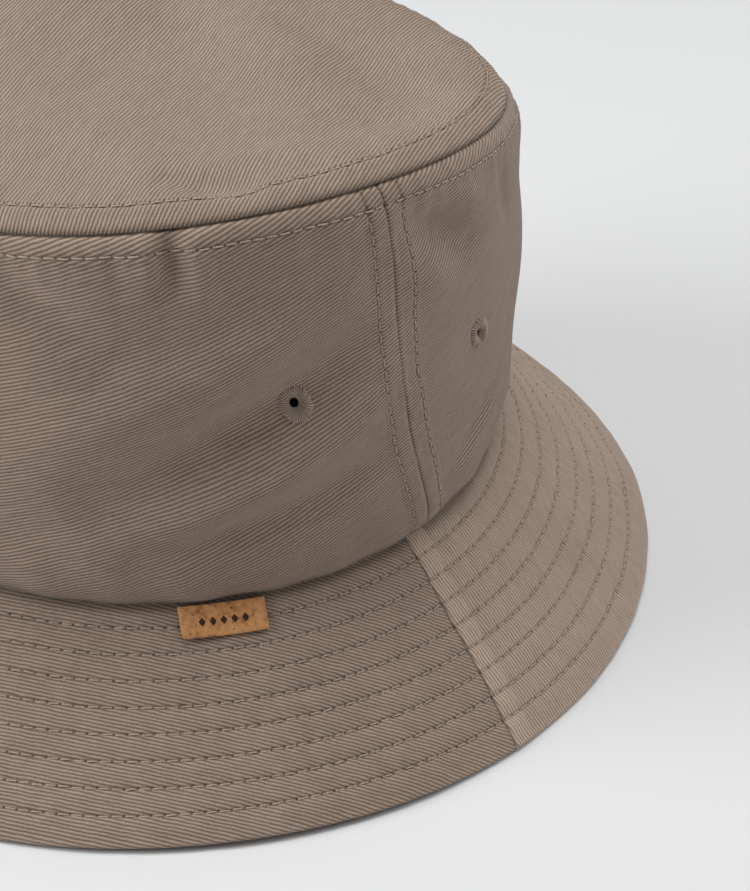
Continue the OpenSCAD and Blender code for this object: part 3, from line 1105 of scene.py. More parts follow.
@dataclass(frozen=True)
class CorkSheet:
    """Agglomerated cork sheet on cloth: warm tan granules, with brown lenticels and dark flecks."""

    pale: str = "#CB965F"
    mid: str = "#BC8450"
    brown: str = "#8A5A30"
    fleck: str = "#3D2617"
    granule_mm: float = 1.6

    def material(self) -> bpy.types.Material:
        """Builds the finish from cells at the granules' size, and sparse flecks."""
        g = Graph("cork sheet", 0.62, Specular_IOR_Level=0.4)
        here = g.add("TexCoord").outputs["Object"]
        cells = {"Vector": here, "Scale": 1 / (self.granule_mm * MM), "Randomness": 1.0}
        granules = g.add("TexVoronoi", cells, feature="F1").outputs["Distance"]
        grain = g.weighted((granules, 0.35), (g.noise(2.2, 4), 0.75))
        base = g.ramp(grain, (0.34, self.pale), (0.6, self.mid), (0.8, self.brown))
        lenticels = g.span(g.noise(1.5, 3), 0.6, 0.68)
        squeezed = g.add("Mapping", {0: here, 3: (1.0, 1.0, 2.4)}).outputs[0]
        flecks = g.span(g.noise_along(squeezed, 1.1 * MM, 3), 0.655, 0.7)
        colour = g.mix(g.times(lenticels, 0.55), base, linear(self.brown))
        colour = g.mix(g.times(flecks, 0.85), colour, linear(self.fleck))
        relief = g.sum("SUBTRACT", g.noise(0.6, 3), g.times(flecks, 0.8))
        return g.done(colour, relief, 0.12, 0.6)


@dataclass(frozen=True)
class BurntMark:
    """Cork scorched by a hot stamp: nearly black, matt and a little sunken."""

    dark: str = "#2A1C14"
    light: str = "#46301F"

    def material(self) -> bpy.types.Material:
        """Builds the finish from fine noise."""
        g = Graph("scorched cork", 0.8, Specular_IOR_Level=0.3)
        grain = g.noise(0.4, 3)
        return g.done(g.ramp(grain, (0.35, self.dark), (0.75, self.light)), grain, 0.05, 0.5)


@dataclass(frozen=True)
class StudioPaper:
    """Matt white paper under the hat: it is plain, and takes only a soft shadow."""

    colour: str = "#E7E8E9"
    shade: str = "#E3E4E5"

    def material(self) -> bpy.types.Material:
        """Builds the finish with a trace of tone in it."""
        g = Graph("studio paper", 1.0, Specular_IOR_Level=0.0)
        fine = g.span(g.noise(60, 2), 0.3, 0.7)
        return g.done(g.mix(g.times(fine, 0.01), linear(self.colour), linear(self.shade)))


# ---------------------------------------------------------------- pieces

class Body(Enum):
    """The CAD bodies that pieces ride on."""

    HAT = "hat"
    TAB = "tab"
    LABEL = "label"

    def hinge(self) -> np.ndarray:
        """The place of the hinge that the body turns on."""
        joint = next(j for j in frame["joints"] if j["child"] == self.value)
        return np.array(joint["pos_m"]) / MM


class Half(Enum):
    """The two halves that the wall and the brim are cut in, by where each starts round the hat."""

    FRONT = -math.pi
    BACK = 0.0


@dataclass
class Finishes:
    """Every material of the hat."""

    twill: bpy.types.Material
    turned_twill: bpy.types.Material
    thread: bpy.types.Material
    satin: bpy.types.Material
    tape: bpy.types.Material
    band: bpy.types.Material
    stiffener: bpy.types.Material
    cork: bpy.types.Material
    mark: bpy.types.Material
    backing: bpy.types.Material
    label: bpy.types.Material

    @classmethod
    def build(cls) -> "Finishes":
        """Makes each material once."""
        return cls(
            twill=CottonTwill().material(),
            # For the brim's back halves: a copy of the twill painted lighter and with flatter wales, as
            # painted light for light that falls along their wales.
            turned_twill=CottonTwill("cotton twill, light along its wales", crown="#C2AE9D", side="#A08D7D",
                                     gutter="#7A695C", depth=0.4).material(),
            thread=SpunThread().material(), satin=SatinStitch().material(),
            tape=WovenTape("cotton bias tape", "#9B8D80", "#6F6257").material(),
            band=WovenTape("cotton sweatband tape", "#94867A", "#685C52", yarn_mm=1.2, sheen=0.15).material(),
            stiffener=NonWoven().material(), cork=CorkSheet().material(), mark=BurntMark().material(),
            backing=WovenTape("cotton backing cloth", "#7D6F63", "#564A41").material(),
            label=WovenTape("polyester label satin", "#F1EFEA", "#D5D2CB", yarn_mm=0.5, sheen=0.3,
                            roughness=0.5).material())


def place(piece: bpy.types.Object, body: Body, slot: str, *nodes: str) -> bpy.types.Object:
    """Puts a piece on its body and lets it stand for its CAD nodes.

    Args:
        piece: the finished mesh.
        body: what it moves with.
        slot: the record's material slot; not used.
        nodes: the CAD nodes that it replaces.

    Returns:
        The piece.
    """
    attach(piece, body.value)
    if nodes:
        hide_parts(*nodes)
    log.info("%-22s %7d faces, on %s", piece.name, len(piece.data.polygons), body.value)
    return piece


def face_cloth(face: Face, phi: np.ndarray, s: np.ndarray, lift: float = 0.0) -> Cloth:
    """Lays a grid on a face.

    Args:
        face: the surface.
        phi: angles of the columns.
        s: distances of the rows, ordered so that the side that shows has its face outward.
        lift: how far above the surface.

    Returns:
        The grid as one face of a cloth.
    """
    grid_s, grid_phi = grid_of(s, phi)
    points, n = face.at(grid_phi, grid_s, lift)
    return Cloth(points, -n, face.weave(grid_phi, grid_s), face.stitching(grid_phi, grid_s))


def half_columns(half: Half, near: float, fine: float, coarse: float, radius: float) -> np.ndarray:
    """Angles of the columns of a half, closer together near its two seams.

    Args:
        half: which half.
        near: how far from a seam the fine columns reach.
        fine: their spacing.
        coarse: spacing of the others.
        radius: at which the spacings hold.

    Returns:
        The angles, from one seam to the other.
    """
    edge = near / radius
    return half.value + stations((0, edge, fine / radius), (edge, math.pi - edge, coarse / radius),
                                 (math.pi - edge, math.pi, fine / radius))


def ring_columns(count: int) -> np.ndarray:
    """Angles of the columns of a closed ring."""
    return np.linspace(0, TURN, count, endpoint=False)


@dataclass
class Crown:
    """The side wall, the tip and what is sewn to them.

    Attributes:
        size: the frame's sizes.
        finishes: the hat's materials.
        cloth_t: thickness of the twill as it shows.
        thread: the sewing thread.
        eyelet_turn_deg: angle from a side seam to each eyelet beside it.
        left_shift: how far the left eyelets, front and back, have moved round with the twisted cloth.
        eyelet_r: radius of an eyelet's stitching.
        eyelet_hole_r: radius of the hole in it.
        eyelet_threads: how many stitches go round it.
        tape_w: width of the seam tapes.
        tape_t: thickness of the tapes and the binding.
        binding_leg: how far the binding reaches on each side of the tip seam.
    """

    size: HatSize
    finishes: Finishes
    cloth_t: float = 0.55
    thread: Thread = field(default_factory=Thread)
    eyelet_turn_deg: float = 19.0
    left_shift: tuple[float, float] = (0.028, 0.016)
    eyelet_r: float = 4.2
    eyelet_hole_r: float = 1.1
    eyelet_threads: int = 38
    tape_w: float = 13
    tape_t: float = 0.35
    binding_leg: float = 7

    def __post_init__(self) -> None:
        """Sets out the creases and the eyelets, and then the faces."""
        folds = [
            Crease((-38.6, 141), (-37.6, 128), 2.8, 2.6), Crease((-34.6, 137), (-33.5, 122), -1.8, 4.2),
            Crease((-42, 137), (-41.5, 126), -1.0, 3.0), Crease((-48, 69), (-12, 102), 4.8, 8),
            Crease((-54, 87), (-15, 120), -3.0, 8.5), Crease((-36, 65), (-8, 85), -2.2, 6),
            Crease((-42, 53), (-6, 69), 3.0, 5.5), Crease((-70, 62), (-50, 56), 1.6, 9),
            Crease((-66, 131), (-47, 112), 2.8, 7), Crease((-62, 112), (-48, 100), -1.0, 9),
            Crease((-1, 134), (13, 118), 3.2, 5), Crease((-1, 120), (9, 106), -1.8, 6),
            Crease((9, 134), (17, 124), -0.9, 4), Crease((29, 72), (9, 52), 1.3, 3.6),
            Crease((33, 76), (14, 50), -1.0, 3.6), Crease((24, 128), (29, 112), 1.2, 3.0),
            Crease((-8, 100), (4, 78), -0.7, 5), Crease((36, 66), (20, 46), 0.8, 4)]
        rng = np.random.default_rng(17)
        for turn in np.arange(48, 296, 14.5):
            lean, low, reach = rng.uniform(-18, 18), rng.uniform(55, 95), rng.uniform(12, 34)
            depth, width = rng.uniform(-0.8, 1.5), rng.uniform(4, 9)
            folds.append(Crease((turn, low), (turn + lean, low + reach), depth, width))
        self.wall = WallFace(self.size, creases=folds)
        self.tip = TipFace(self.wall)
        turn = math.radians(self.eyelet_turn_deg)
        self.eyelets = {
            "eyelet_left_front": (LEFT - turn + self.left_shift[0], 53.8),
            "eyelet_left_back": (LEFT + turn + self.left_shift[1], 51.0),
            "eyelet_right_front": (RIGHT + turn, 53.0),
            "eyelet_right_back": (RIGHT - turn, 54.5)}
        self.wall.eyelets.extend(self.eyelets.values())

    def build(self) -> None:
        """Makes every piece of the crown."""
        for half in Half:
            self.wall_half(half)
        self.tip_panel()
        self.topstitching()
        self.seam_stitching()
        for number, (name, (phi, s)) in enumerate(self.eyelets.items()):
            self.eyelet(name, phi, s, number)
        self.seam_tapes()
        self.binding()

    def wall_half(self, half: Half) -> None:
        """One half of the side wall, with its eyelet holes cut."""
        length = self.wall.length
        s = stations((-0.6, 8, 0.7), (8, 92, 1.12), (92, length, 0.46))
        phi = half_columns(half, 9, 0.5, 0.86, self.wall.radius)
        cloth = face_cloth(self.wall, phi, s)
        cell_s, cell_phi = grid_of((s[1:] + s[:-1]) / 2, (phi[1:] + phi[:-1]) / 2)
        cloth.keep = np.ones(cell_s.shape, bool)
        for phi_e, s_e in self.eyelets.values():
            away = np.hypot(turn_between(cell_phi, phi_e) * self.wall.radius, cell_s - s_e)
            cloth.keep &= away > 2 * self.eyelet_hole_r
        name = f"wall_{half.name.lower()}"
        piece = cloth_object(f"{name}_cloth", cloth, self.cloth_t, self.finishes.twill)
        place(piece, Body.HAT, "twill", name)

    def tip_panel(self) -> None:
        """The round tip, from its seam in to the middle."""
        radius = self.tip.radius
        s = stations((0, 8, 0.46), (8, 30, 1.1), (30, radius - 1.2, 1.6))
        cloth = face_cloth(self.tip, ring_columns(470), s)
        cloth.closed = True
        cloth.centre = cloth.points[-1].mean(0)
        piece = cloth_object("tip_panel_cloth", cloth, self.cloth_t, self.finishes.twill)
        place(piece, Body.HAT, "twill", "tip_panel")

    def topstitching(self) -> None:
        """The two rows beside the tip seam."""
        for name, face, s, seed in (("tip_topstitch", self.tip, self.tip.gap, 100),
                                    ("wall_topstitch", self.wall, self.wall.length - self.wall.top_gap, 200)):
            holes, up = face.at(ring_columns(stitches_round(face.radius)), s)
            piece = self.thread.sew(f"{name}_thread", [(holes, up, True)], self.finishes.thread, seed)
            place(piece, Body.HAT, "thread", name)

    def seam_stitching(self) -> None:
        """The two rows beside each side seam."""
        s = np.arange(STITCH, self.wall.length - self.wall.top_gap, STITCH)
        for seed, (side, phi) in enumerate((("left", LEFT), ("right", RIGHT))):
            runs = []
            for x in (-self.wall.seam_gap, self.wall.seam_gap):
                holes, up = self.wall.at(np.full_like(s, phi + x / self.wall.radius), s)
                runs.append((holes, up, False))
            piece = self.thread.sew(f"{side}_seam_thread", runs, self.finishes.thread, 300 + 10 * seed)
            place(piece, Body.HAT, "thread", f"{side}_seam_stitches")

    def eyelet(self, name: str, phi: float, s: float, number: int) -> None:
        """A round eyelet: satin stitches that wrap the cloth from outside to inside through its hole.

        Args:
            name: the CAD node.
            phi: its angle round the wall.
            s: its distance up the wall.
            number: which eyelet it is, for the irregular lengths of its stitches.
        """
        rng = np.random.default_rng(400 + number)
        per_thread = 6
        threads = self.eyelet_threads
        count = threads * per_thread
        turns = np.arange(count) / count
        ridge = np.cos(TURN * turns * threads)
        each = np.repeat(rng.uniform(-1, 1, (threads, 2)), per_thread, axis=0)
        each = np.roll(each, per_thread // 2, axis=0)
        t = self.cloth_t
        hole, edge = self.eyelet_hole_r, self.eyelet_r
        section = [
            (edge, -0.1, 1), (edge - 0.1, 0.22, 1), (edge - 0.55, 0.62, 1), (edge - 1.2, 0.85, 1),
            (edge - 1.9, 0.78, 1), (hole + 0.5, 0.42, 0.8), (hole + 0.12, 0.02, 0.4), (hole, -t / 2, 0.2),
            (hole + 0.1, -t - 0.05, 0.4), (hole + 0.45, -t - 0.34, 0.8), (edge - 2.1, -t - 0.5, 1),
            (edge - 1.3, -t - 0.5, 1), (edge - 0.6, -t - 0.4, 1), (edge - 0.1, -t - 0.14, 1),
            (edge, -t + 0.1, 1), (hole + 0.9, -t + 0.1, 0), (hole + 0.7, -t / 2, 0), (hole + 0.9, -0.1, 0)]
        even = 1.6
        rings, layer = [], []
        for r, h, loose in section:
            out = max(0.0, r - hole - even) / (edge - hole - even)
            radius = r + loose * out * (0.24 * each[:, 0] + 0.1 * ridge)
            lift = h + loose * (0.13 * ridge + 0.07 * each[:, 1]) * (1 if h > -t / 2 else -1)
            points, n = self.wall.at(phi + radius * np.cos(TURN * turns) / self.wall.radius,
                                     s + radius * np.sin(TURN * turns))
            rings.append(points + n * lift[:, None])
            layer.append(np.stack([turns * threads, np.full(count, r)], -1))
        tube = np.swapaxes(np.array(rings), 0, 1)[:, ::-1]
        piece = loop_object(f"{name}_stitching", tube, self.finishes.satin, crease_deg=80,
                            weave=np.swapaxes(np.array(layer), 0, 1)[:, ::-1])
        place(piece, Body.HAT, "eyelet_thread", name)

    def seam_tapes(self) -> None:
        """The tape over each side seam, on the inside."""
        s = stations((9, self.wall.length - self.binding_leg - 1, 1.5))
        half = self.tape_w / 2 / self.wall.radius
        for side, phi in (("left", LEFT), ("right", RIGHT)):
            columns = phi + stations((half, -half, 0.6 / self.wall.radius))
            cloth = face_cloth(self.wall, columns, s, lift=-self.cloth_t - 0.12)
            grid_s, grid_phi = grid_of(s, columns)
            cloth.weave = np.stack([turn_between(grid_phi, phi) * self.wall.radius, grid_s], -1)
            piece = cloth_object(f"{side}_seam_tape_cloth", cloth, self.tape_t, self.finishes.tape)
            place(piece, Body.HAT, "seam_tape", f"{side}_seam_tape")

    def binding(self) -> None:
        """The bias binding that covers the tip seam's raw edges inside, bent round the corner."""
        inside = self.cloth_t + 0.15
        phi = ring_columns(420)
        rows = [(self.wall, self.wall.length - d) for d in (self.binding_leg, 5, 3.4, 2, 1.1)]
        rows += [(self.tip, d) for d in (1.5, 2.6, 4, 5.5, self.binding_leg)]
        points, back = [], []
        for face, s in rows:
            p, n = face.at(phi, np.full_like(phi, s), -inside)
            points.append(p)
            back.append(-n)
        points, back = np.array(points), np.array(back)
        along = np.broadcast_to(phi * self.tip.radius, points.shape[:2])
        across = np.broadcast_to(np.linspace(0, 2 * self.binding_leg, len(rows))[:, None], points.shape[:2])
        bias = np.stack([along + across, along - across], -1)
        cloth = Cloth(points, back, bias, np.full(points.shape, NO_ROW), closed=True)
        piece = cloth_object("tip_seam_binding_tape", cloth, self.tape_t, self.finishes.tape)
        place(piece, Body.HAT, "seam_tape", "tip_seam_binding")


@dataclass
class Brim:
    """The brim: two halves above, two below, a stiffener between and eight rows of stitching through all.

    Attributes:
        size: the frame's sizes.
        finishes: the hat's materials.
        cloth_t: thickness of the twill as it shows.
        thread: the sewing thread.
        stiffener_t: thickness of the interlining where the rows press it flat.
        turned_up: heights of the rows of points on the allowance behind the wall.
        hem_r: radius of the upper layer's fold round the rim.
    """

    size: HatSize
    finishes: Finishes
    cloth_t: float = 0.5
    thread: Thread = field(default_factory=Thread)
    stiffener_t: float = 0.16
    turned_up: tuple[float, ...] = (0.6, 2.5, 4.7, 6.8)
    hem_r: float = 0.72

    def __post_init__(self) -> None:
        """Sets out the two faces."""
        self.upper = BrimFace(self.size)
        self.lower = BrimFace(self.size, under=True)

    def build(self) -> None:
        """Makes every piece of the brim."""
        self.stiffener()
        for half in Half:
            self.upper_half(half)
            self.under_half(half)
        for k in range(self.upper.rows):
            self.stitch_row(k)

    def twill(self, half: Half) -> bpy.types.Material:
        """The cloth of a half: the two are cut on different grains, and the back half takes the copy of the
        twill painted lighter, as painted light for light along its wales.
        """
        return self.finishes.twill if half is Half.FRONT else self.finishes.turned_twill

    def turned_edge(self, face: BrimFace, phi: np.ndarray, offsets: Sequence[tuple[float, float]],
                    from_s: float) -> tuple[np.ndarray, np.ndarray]:
        """Rows of points beyond the end of a face.

        Args:
            face: the face.
            phi: angles of the columns.
            offsets: how far down the slope past from_s and how far out along the normal each row is.
            from_s: where on the face they start.

        Returns:
            Rows x columns x 3 of points, and of normals away from the cloth.
        """
        start, n = face.at(phi, np.full_like(phi, from_s))
        ahead = face.base(phi, np.full_like(phi, from_s + 1)) - face.base(phi, np.full_like(phi, from_s))
        points = np.array([start + ahead * a + n * b for a, b in offsets])
        tangent = np.gradient(points, axis=0)
        side = np.cross(np.gradient(points, axis=1), tangent)
        side /= np.maximum(np.linalg.norm(side, axis=-1, keepdims=True), 1e-9)
        return points, side

    def collar(self, phi: np.ndarray, radius: float) -> np.ndarray:
        """The seam allowance turned up behind the wall, as rows from the seam up."""
        world = phi + math.radians(self.upper.seam_turn_deg)
        return np.array([on_circle(radius, world, self.size.seam_z + up) for up in self.turned_up])

    def half_layer(self, half: Half, layer: str, phi: np.ndarray, s: np.ndarray, points: Sequence[np.ndarray],
                   back: Sequence[np.ndarray]) -> None:
        """Makes one half of a layer from its parts.

        Args:
            half: which half.
            layer: upper or under.
            phi: angles of the columns.
            s: distances of all its rows, as the finish counts them.
            points: rows x columns x 3 of each part, in the order of the rows.
            back: for each part, the directions to the cloth's other face.
        """
        face = self.upper if layer == "upper" else self.lower
        grid_s, grid_phi = grid_of(s, phi)
        cloth = Cloth(np.concatenate(points), np.concatenate(back), face.weave(grid_phi, grid_s),
                      face.stitching(grid_phi, grid_s))
        name = f"brim_{layer}_{half.name.lower()}"
        piece = cloth_object(f"{name}_cloth", cloth, self.cloth_t, self.twill(half))
        place(piece, Body.HAT, "twill", name)

    def upper_half(self, half: Half) -> None:
        """A half of the upper layer, from its folded rim up the slope and up behind the wall."""
        phi = half_columns(half, 8, 0.6, 1.22, self.size.rim_r)
        end = self.size.brim_w - 0.9
        spans, here = [], end
        for row in self.upper.row_s[::-1]:
            spans += [(here, row + 0.9, 1.0), (row + 0.9, row - 0.9, 0.26)]
            here = row - 0.9
        s = stations(*spans, (here, 0.3, 0.9))
        slope = face_cloth(self.upper, phi, s)
        turn = np.radians([170, 140, 110, 80, 52, 26])
        roll = [(self.hem_r * math.sin(a), self.hem_r * (math.cos(a) - 1)) for a in turn]
        under = [(-1.6, -1.45), (-0.8, -1.45)]
        edge, edge_n = self.turned_edge(self.upper, phi, under + roll + [(0.0, 0.0)], end)
        edge, edge_n = edge[:-1], edge_n[:-1]
        inside = self.collar(phi, self.size.wall_in - 0.05)
        inward = np.broadcast_to(-on_circle(1, phi, 0), inside.shape)
        edge_s = end + 3.3 - 0.42 * np.arange(len(edge))
        self.half_layer(half, "upper", phi, np.concatenate([edge_s, s, -np.array(self.turned_up)]),
                        [edge, slope.points, inside], [-edge_n, slope.back, inward])

    def under_half(self, half: Half) -> None:
        """A half of the under layer, from behind the sweatband down to the rim."""
        phi = half_columns(half, 8, 0.8, 1.5, self.size.rim_r)
        spans, here = [], 0.9
        for row in self.lower.row_s:
            spans += [(here, row - 0.9, 1.1), (row - 0.9, row + 0.9, 0.45)]
            here = row + 0.9
        s = stations(*spans, (here, self.size.brim_w - 1.5, 1.0))
        slope = face_cloth(self.lower, phi, s)
        inside = self.collar(phi, self.size.collar_r + 0.1)[::-1]
        outward = np.broadcast_to(on_circle(1, phi, 0), inside.shape)
        self.half_layer(half, "under", phi, np.concatenate([-np.array(self.turned_up)[::-1], s]),
                        [inside, slope.points], [outward, slope.back])

    def stiffener(self) -> None:
        """The interlining between the two layers."""
        phi = ring_columns(360)
        s = stations((self.size.brim_w - 2.6, 3.5, 1.65))
        grid_s, grid_phi = grid_of(s, phi)
        above, n = self.upper.at(grid_phi, grid_s, -self.cloth_t)
        below, _ = self.lower.at(grid_phi, grid_s, -self.cloth_t)
        cloth = Cloth((above + below) / 2 + n * self.stiffener_t / 2, -n, self.upper.weave(grid_phi, grid_s),
                      self.upper.stitching(grid_phi, grid_s), closed=True)
        piece = cloth_object("brim_stiffener_layer", cloth, self.stiffener_t, self.finishes.stiffener)
        place(piece, Body.HAT, "stiffener", "brim_stiffener")

    def stitch_row(self, k: int) -> None:
        """One row of stitching round the brim, above and below."""
        phi = ring_columns(self.upper.holes(k))
        runs = []
        for face in (self.upper, self.lower):
            holes, up = face.at(phi, np.full_like(phi, self.upper.row_s[k]))
            runs.append((holes, up, True))
        name = f"brim_stitch_row_{k + 1}"
        piece = self.thread.sew(f"{name}_thread", runs, self.finishes.thread, 500 + 10 * k)
        place(piece, Body.HAT, "thread", name)


@dataclass
class HeadBand:
    """The sweatband inside the hat and the row of stitching that holds it.

    Attributes:
        size: the frame's sizes.
        finishes: the hat's materials.
        thickness: of the folded tape.
        stitch_up: from its lower edge to the stitching.
        thread: the sewing thread.
    """

    size: HatSize
    finishes: Finishes
    thickness: float = 0.8
    stitch_up: float = 3.5
    thread: Thread = field(default_factory=Thread)

    def __post_init__(self) -> None:
        """Draws the tape's slow waves."""
        self.wave = RoundRipple(61, 60, self.size.collar_r)

    def inner(self, phi: np.ndarray, up: np.ndarray) -> np.ndarray:
        """A point on the side that touches the head, at an angle and a height up the tape."""
        height = self.size.band_top - self.size.seam_z
        loose = 0.5 * np.clip(up / height, 0, 1) ** 2 * self.wave.at(phi)
        roll = 0.3 * (bump(up, 1.0) + bump(up - height, 1.0))
        groove = 0.25 * bump(up - self.stitch_up, 0.7)
        r = self.size.collar_r - self.thickness + 0.25 * np.clip(up / height, 0, 1)
        return on_circle(r - loose * 0.4 + roll + groove, phi, self.size.seam_z + up)

    def build(self) -> None:
        """Makes the band and its stitching."""
        height = self.size.band_top - self.size.seam_z
        phi = ring_columns(300)
        up = stations((height - 0.1, height - 3, 0.5), (height - 3, 6, 1.6), (6, 0.1, 0.5))
        grid_up, grid_phi = grid_of(up, phi)
        out = on_circle(1, grid_phi, 0)
        along = grid_phi * self.size.collar_r
        bias = np.stack([along + grid_up, along - grid_up], -1)
        cloth = Cloth(self.inner(grid_phi, grid_up), out, bias, np.full(out.shape, NO_ROW), closed=True)
        piece = cloth_object("sweatband_tape", cloth, self.thickness - 0.3, self.finishes.band)
        place(piece, Body.HAT, "sweatband", "sweatband")
        around = ring_columns(stitches_round(self.size.head_r))
        holes = self.inner(around, np.full_like(around, self.stitch_up))
        row = [(holes, -on_circle(1, around, 0), True)]
        thread = self.thread.sew("sweatband_thread", row, self.finishes.thread, 700)
        place(thread, Body.HAT, "thread", "sweatband_stitches")


def slab_object(name: str, width: float, length: float, thickness: float,
                to_world: Callable[[np.ndarray], np.ndarray], finish: bpy.types.Material, edge: float = 0.12,
                corner: float = 0.4, step_mm: float = 0.7) -> bpy.types.Object:
    """A thin soft-edged plate, bent by a function.

    Args:
        name: the piece's name.
        width: from side to side.
        length: from its sewn edge to its free edge.
        thickness: of the plate.
        to_world: moves points given as (across, along, up) to where the plate lies.
        finish: the piece's material.
        edge: radius of its edges.
        corner: radius of its free corners.
        step_mm: spacing of its points.

    Returns:
        A closed mesh object.
    """
    columns = max(6, round(width / step_mm))
    rows = max(4, round(length / step_mm))
    u = np.sin(np.linspace(-1, 1, columns) * math.pi / 2 * 0.98) / math.sin(math.pi / 2 * 0.98)
    u = 0.35 * u + 0.65 * np.linspace(-1, 1, columns)
    v = np.linspace(0, 1, rows)
    grid_v, grid_u = grid_of(v, u)
    y = grid_v * length
    past = np.clip((y - (length - corner)) / corner, 0, 1)
    x = grid_u * (width / 2 - corner * (1 - np.sqrt(1 - past ** 2 * 0.98)))
    weave = np.stack([x, y], -1)
    layers = []
    for up, inset in ((thickness, edge), (thickness - edge, 0.0), (edge, 0.0), (0.0, edge)):
        shrink_x, shrink_y = 1 - 2 * inset / width, 1 - inset / length
        layers.append(np.stack([x * shrink_x, y * shrink_y, np.full_like(x, up)], -1))
    verts = np.concatenate([to_world(p.reshape(-1, 3)) for p in layers])
    size = rows * columns
    i, j = grid_of(np.arange(rows - 1), np.arange(columns - 1))
    cells = quads(i * columns, (i + 1) * columns, j, j + 1).reshape(-1, 4)
    loop = np.concatenate([np.arange(columns), np.arange(1, rows) * columns + columns - 1,
                           (rows - 1) * columns + np.arange(columns - 2, -1, -1),
                           np.arange(rows - 2, 0, -1) * columns])
    after = np.roll(loop, -1)
    sides = [np.stack([after + low, loop + low, loop + low + size, after + low + size], -1)
             for low in (0, size, 2 * size)]
    used, faces = drop_unused(4 * size, np.concatenate([cells, cells[:, ::-1] + 3 * size, *sides]))
    return new_object(name, verts[used], faces, finish, 50, weave=np.tile(weave.reshape(-1, 2), (4, 1))[used])


@dataclass
class CorkTab:
    """The cork flap that is caught in the brim seam, and its cloth backing.

    Attributes:
        size: the frame's sizes.
        finishes: the hat's materials.
        width: along the seam.
        length: down the brim.
        cork_t: thickness of the cork.
        backing_t: thickness of the cloth under it.
        hinge_up: how far its hinge is above its lower face.
        marks: how many lozenges are stamped in a row.
        mark_gap: from one lozenge to the next.
        mark_w: width of a lozenge.
        mark_h: height of a lozenge.
    """

    size: HatSize
    finishes: Finishes
    width: float = 21.6
    length: float = 8.2
    cork_t: float = 0.65
    backing_t: float = 0.28
    hinge_up: float = 1.0
    marks: int = 5
    mark_gap: float = 2.7
    mark_w: float = 1.7
    mark_h: float = 2.2

    def __post_init__(self) -> None:
        """Finds the hinge line that the tab hangs from."""
        x, y, z = Body.TAB.hinge()
        self.phi = math.atan2(y, x)
        a = self.size.slope
        out = np.array([math.cos(self.phi), math.sin(self.phi), 0.0])
        self.down = out * math.cos(a) - np.array([0, 0, math.sin(a)])
        self.up = out * math.sin(a) + np.array([0, 0, math.cos(a)])
        self.side = np.cross(self.up, self.down)
        self.root = np.array([x, y, z]) - self.up * self.hinge_up
        self.radius = math.hypot(x, y)

    def lie(self, points: np.ndarray) -> np.ndarray:
        """Moves (across, along, up) points to the tab, which bends with the seam and curls at a corner."""
        across, along, up = points.T
        bend = 0.35 * across ** 2 / (2 * self.radius)
        curl = 0.7 * rise(-across, 1, 10.5) * (along / self.length) ** 2
        curl += 0.12 * (along / self.length) ** 2
        return (self.root + across[:, None] * self.side + (along - bend)[:, None] * self.down
                + (up + 0.02 + curl)[:, None] * self.up)

    def build(self) -> None:
        """Makes the backing, the cork and a row of plain lozenges stamped in it."""
        backing = slab_object("cork_tab_backing_cloth", self.width - 0.2, self.length - 0.1, self.backing_t,
                              self.lie, self.finishes.backing, edge=0.06)
        place(backing, Body.TAB, "tab_backing", "cork_tab_backing")
        raised = self.backing_t + 0.02
        cork = slab_object("cork_tab_sheet", self.width, self.length, self.cork_t,
                           lambda p: self.lie(p + [0, 0, raised]), self.finishes.cork, step_mm=0.5)
        place(cork, Body.TAB, "cork", "cork_tab")
        top = raised + self.cork_t + 0.015
        for number in range(self.marks):
            middle = (number - (self.marks - 1) / 2) * self.mark_gap
            self.mark(f"stamped_mark_{number + 1}", middle, 0.53 * self.length, top)

    def mark(self, name: str, across: float, along: float, top: float) -> None:
        """One stamped lozenge with soft corners, as a thin skin on the cork."""
        turn = ring_columns(40)
        soft = 1.15
        reach = 1 / (np.abs(np.cos(turn)) ** soft + np.abs(np.sin(turn)) ** soft) ** (1 / soft)
        rings = []
        for share, up in ((1.0, -0.06), (1.0, 0.0), (0.82, 0.03), (0.4, 0.03)):
            rings.append(np.stack([across + share * self.mark_w / 2 * reach * np.cos(turn),
                                   along + share * self.mark_h / 2 * reach * np.sin(turn),
                                   np.full_like(turn, top + up)], -1))
        points = np.array([self.lie(r) for r in rings])
        piece = loop_object(name, points, self.finishes.mark, closed=False, crease_deg=50)
        place(piece, Body.TAB, "cork")


@dataclass
class CareLabel:
    """The folded satin label that hangs inside the back of the sweatband.

    Attributes:
        finishes: the hat's materials.
        width: across the back of the head.
        length: down from the top of the sweatband.
        thickness: of the fold.
    """

    finishes: Finishes
    width: float = 18
    length: float = 22
    thickness: float = 0.36

    def __post_init__(self) -> None:
        """Finds the line that the label hangs from."""
        self.root = Body.LABEL.hinge()

    def lie(self, points: np.ndarray) -> np.ndarray:
        """Moves (across, along, up) points to the label, which hangs with a soft wave in it."""
        across, along, up = points.T
        share = along / self.length
        wave = 0.5 * share ** 2 * np.sin(across / 5.0 + 0.6) + 0.25 * share * np.sin(along / 4.0)
        toward_head = up + 0.02 + 0.8 * share ** 2 + wave
        return self.root + np.stack([-across, -toward_head, -along], -1)

    def build(self) -> None:
        """Makes the label."""
        piece = slab_object("care_label_satin", self.width, self.length, self.thickness, self.lie,
                            self.finishes.label, edge=0.1, corner=0.2)
        place(piece, Body.LABEL, "care_label", "care_label")


# ---------------------------------------------------------------- studio

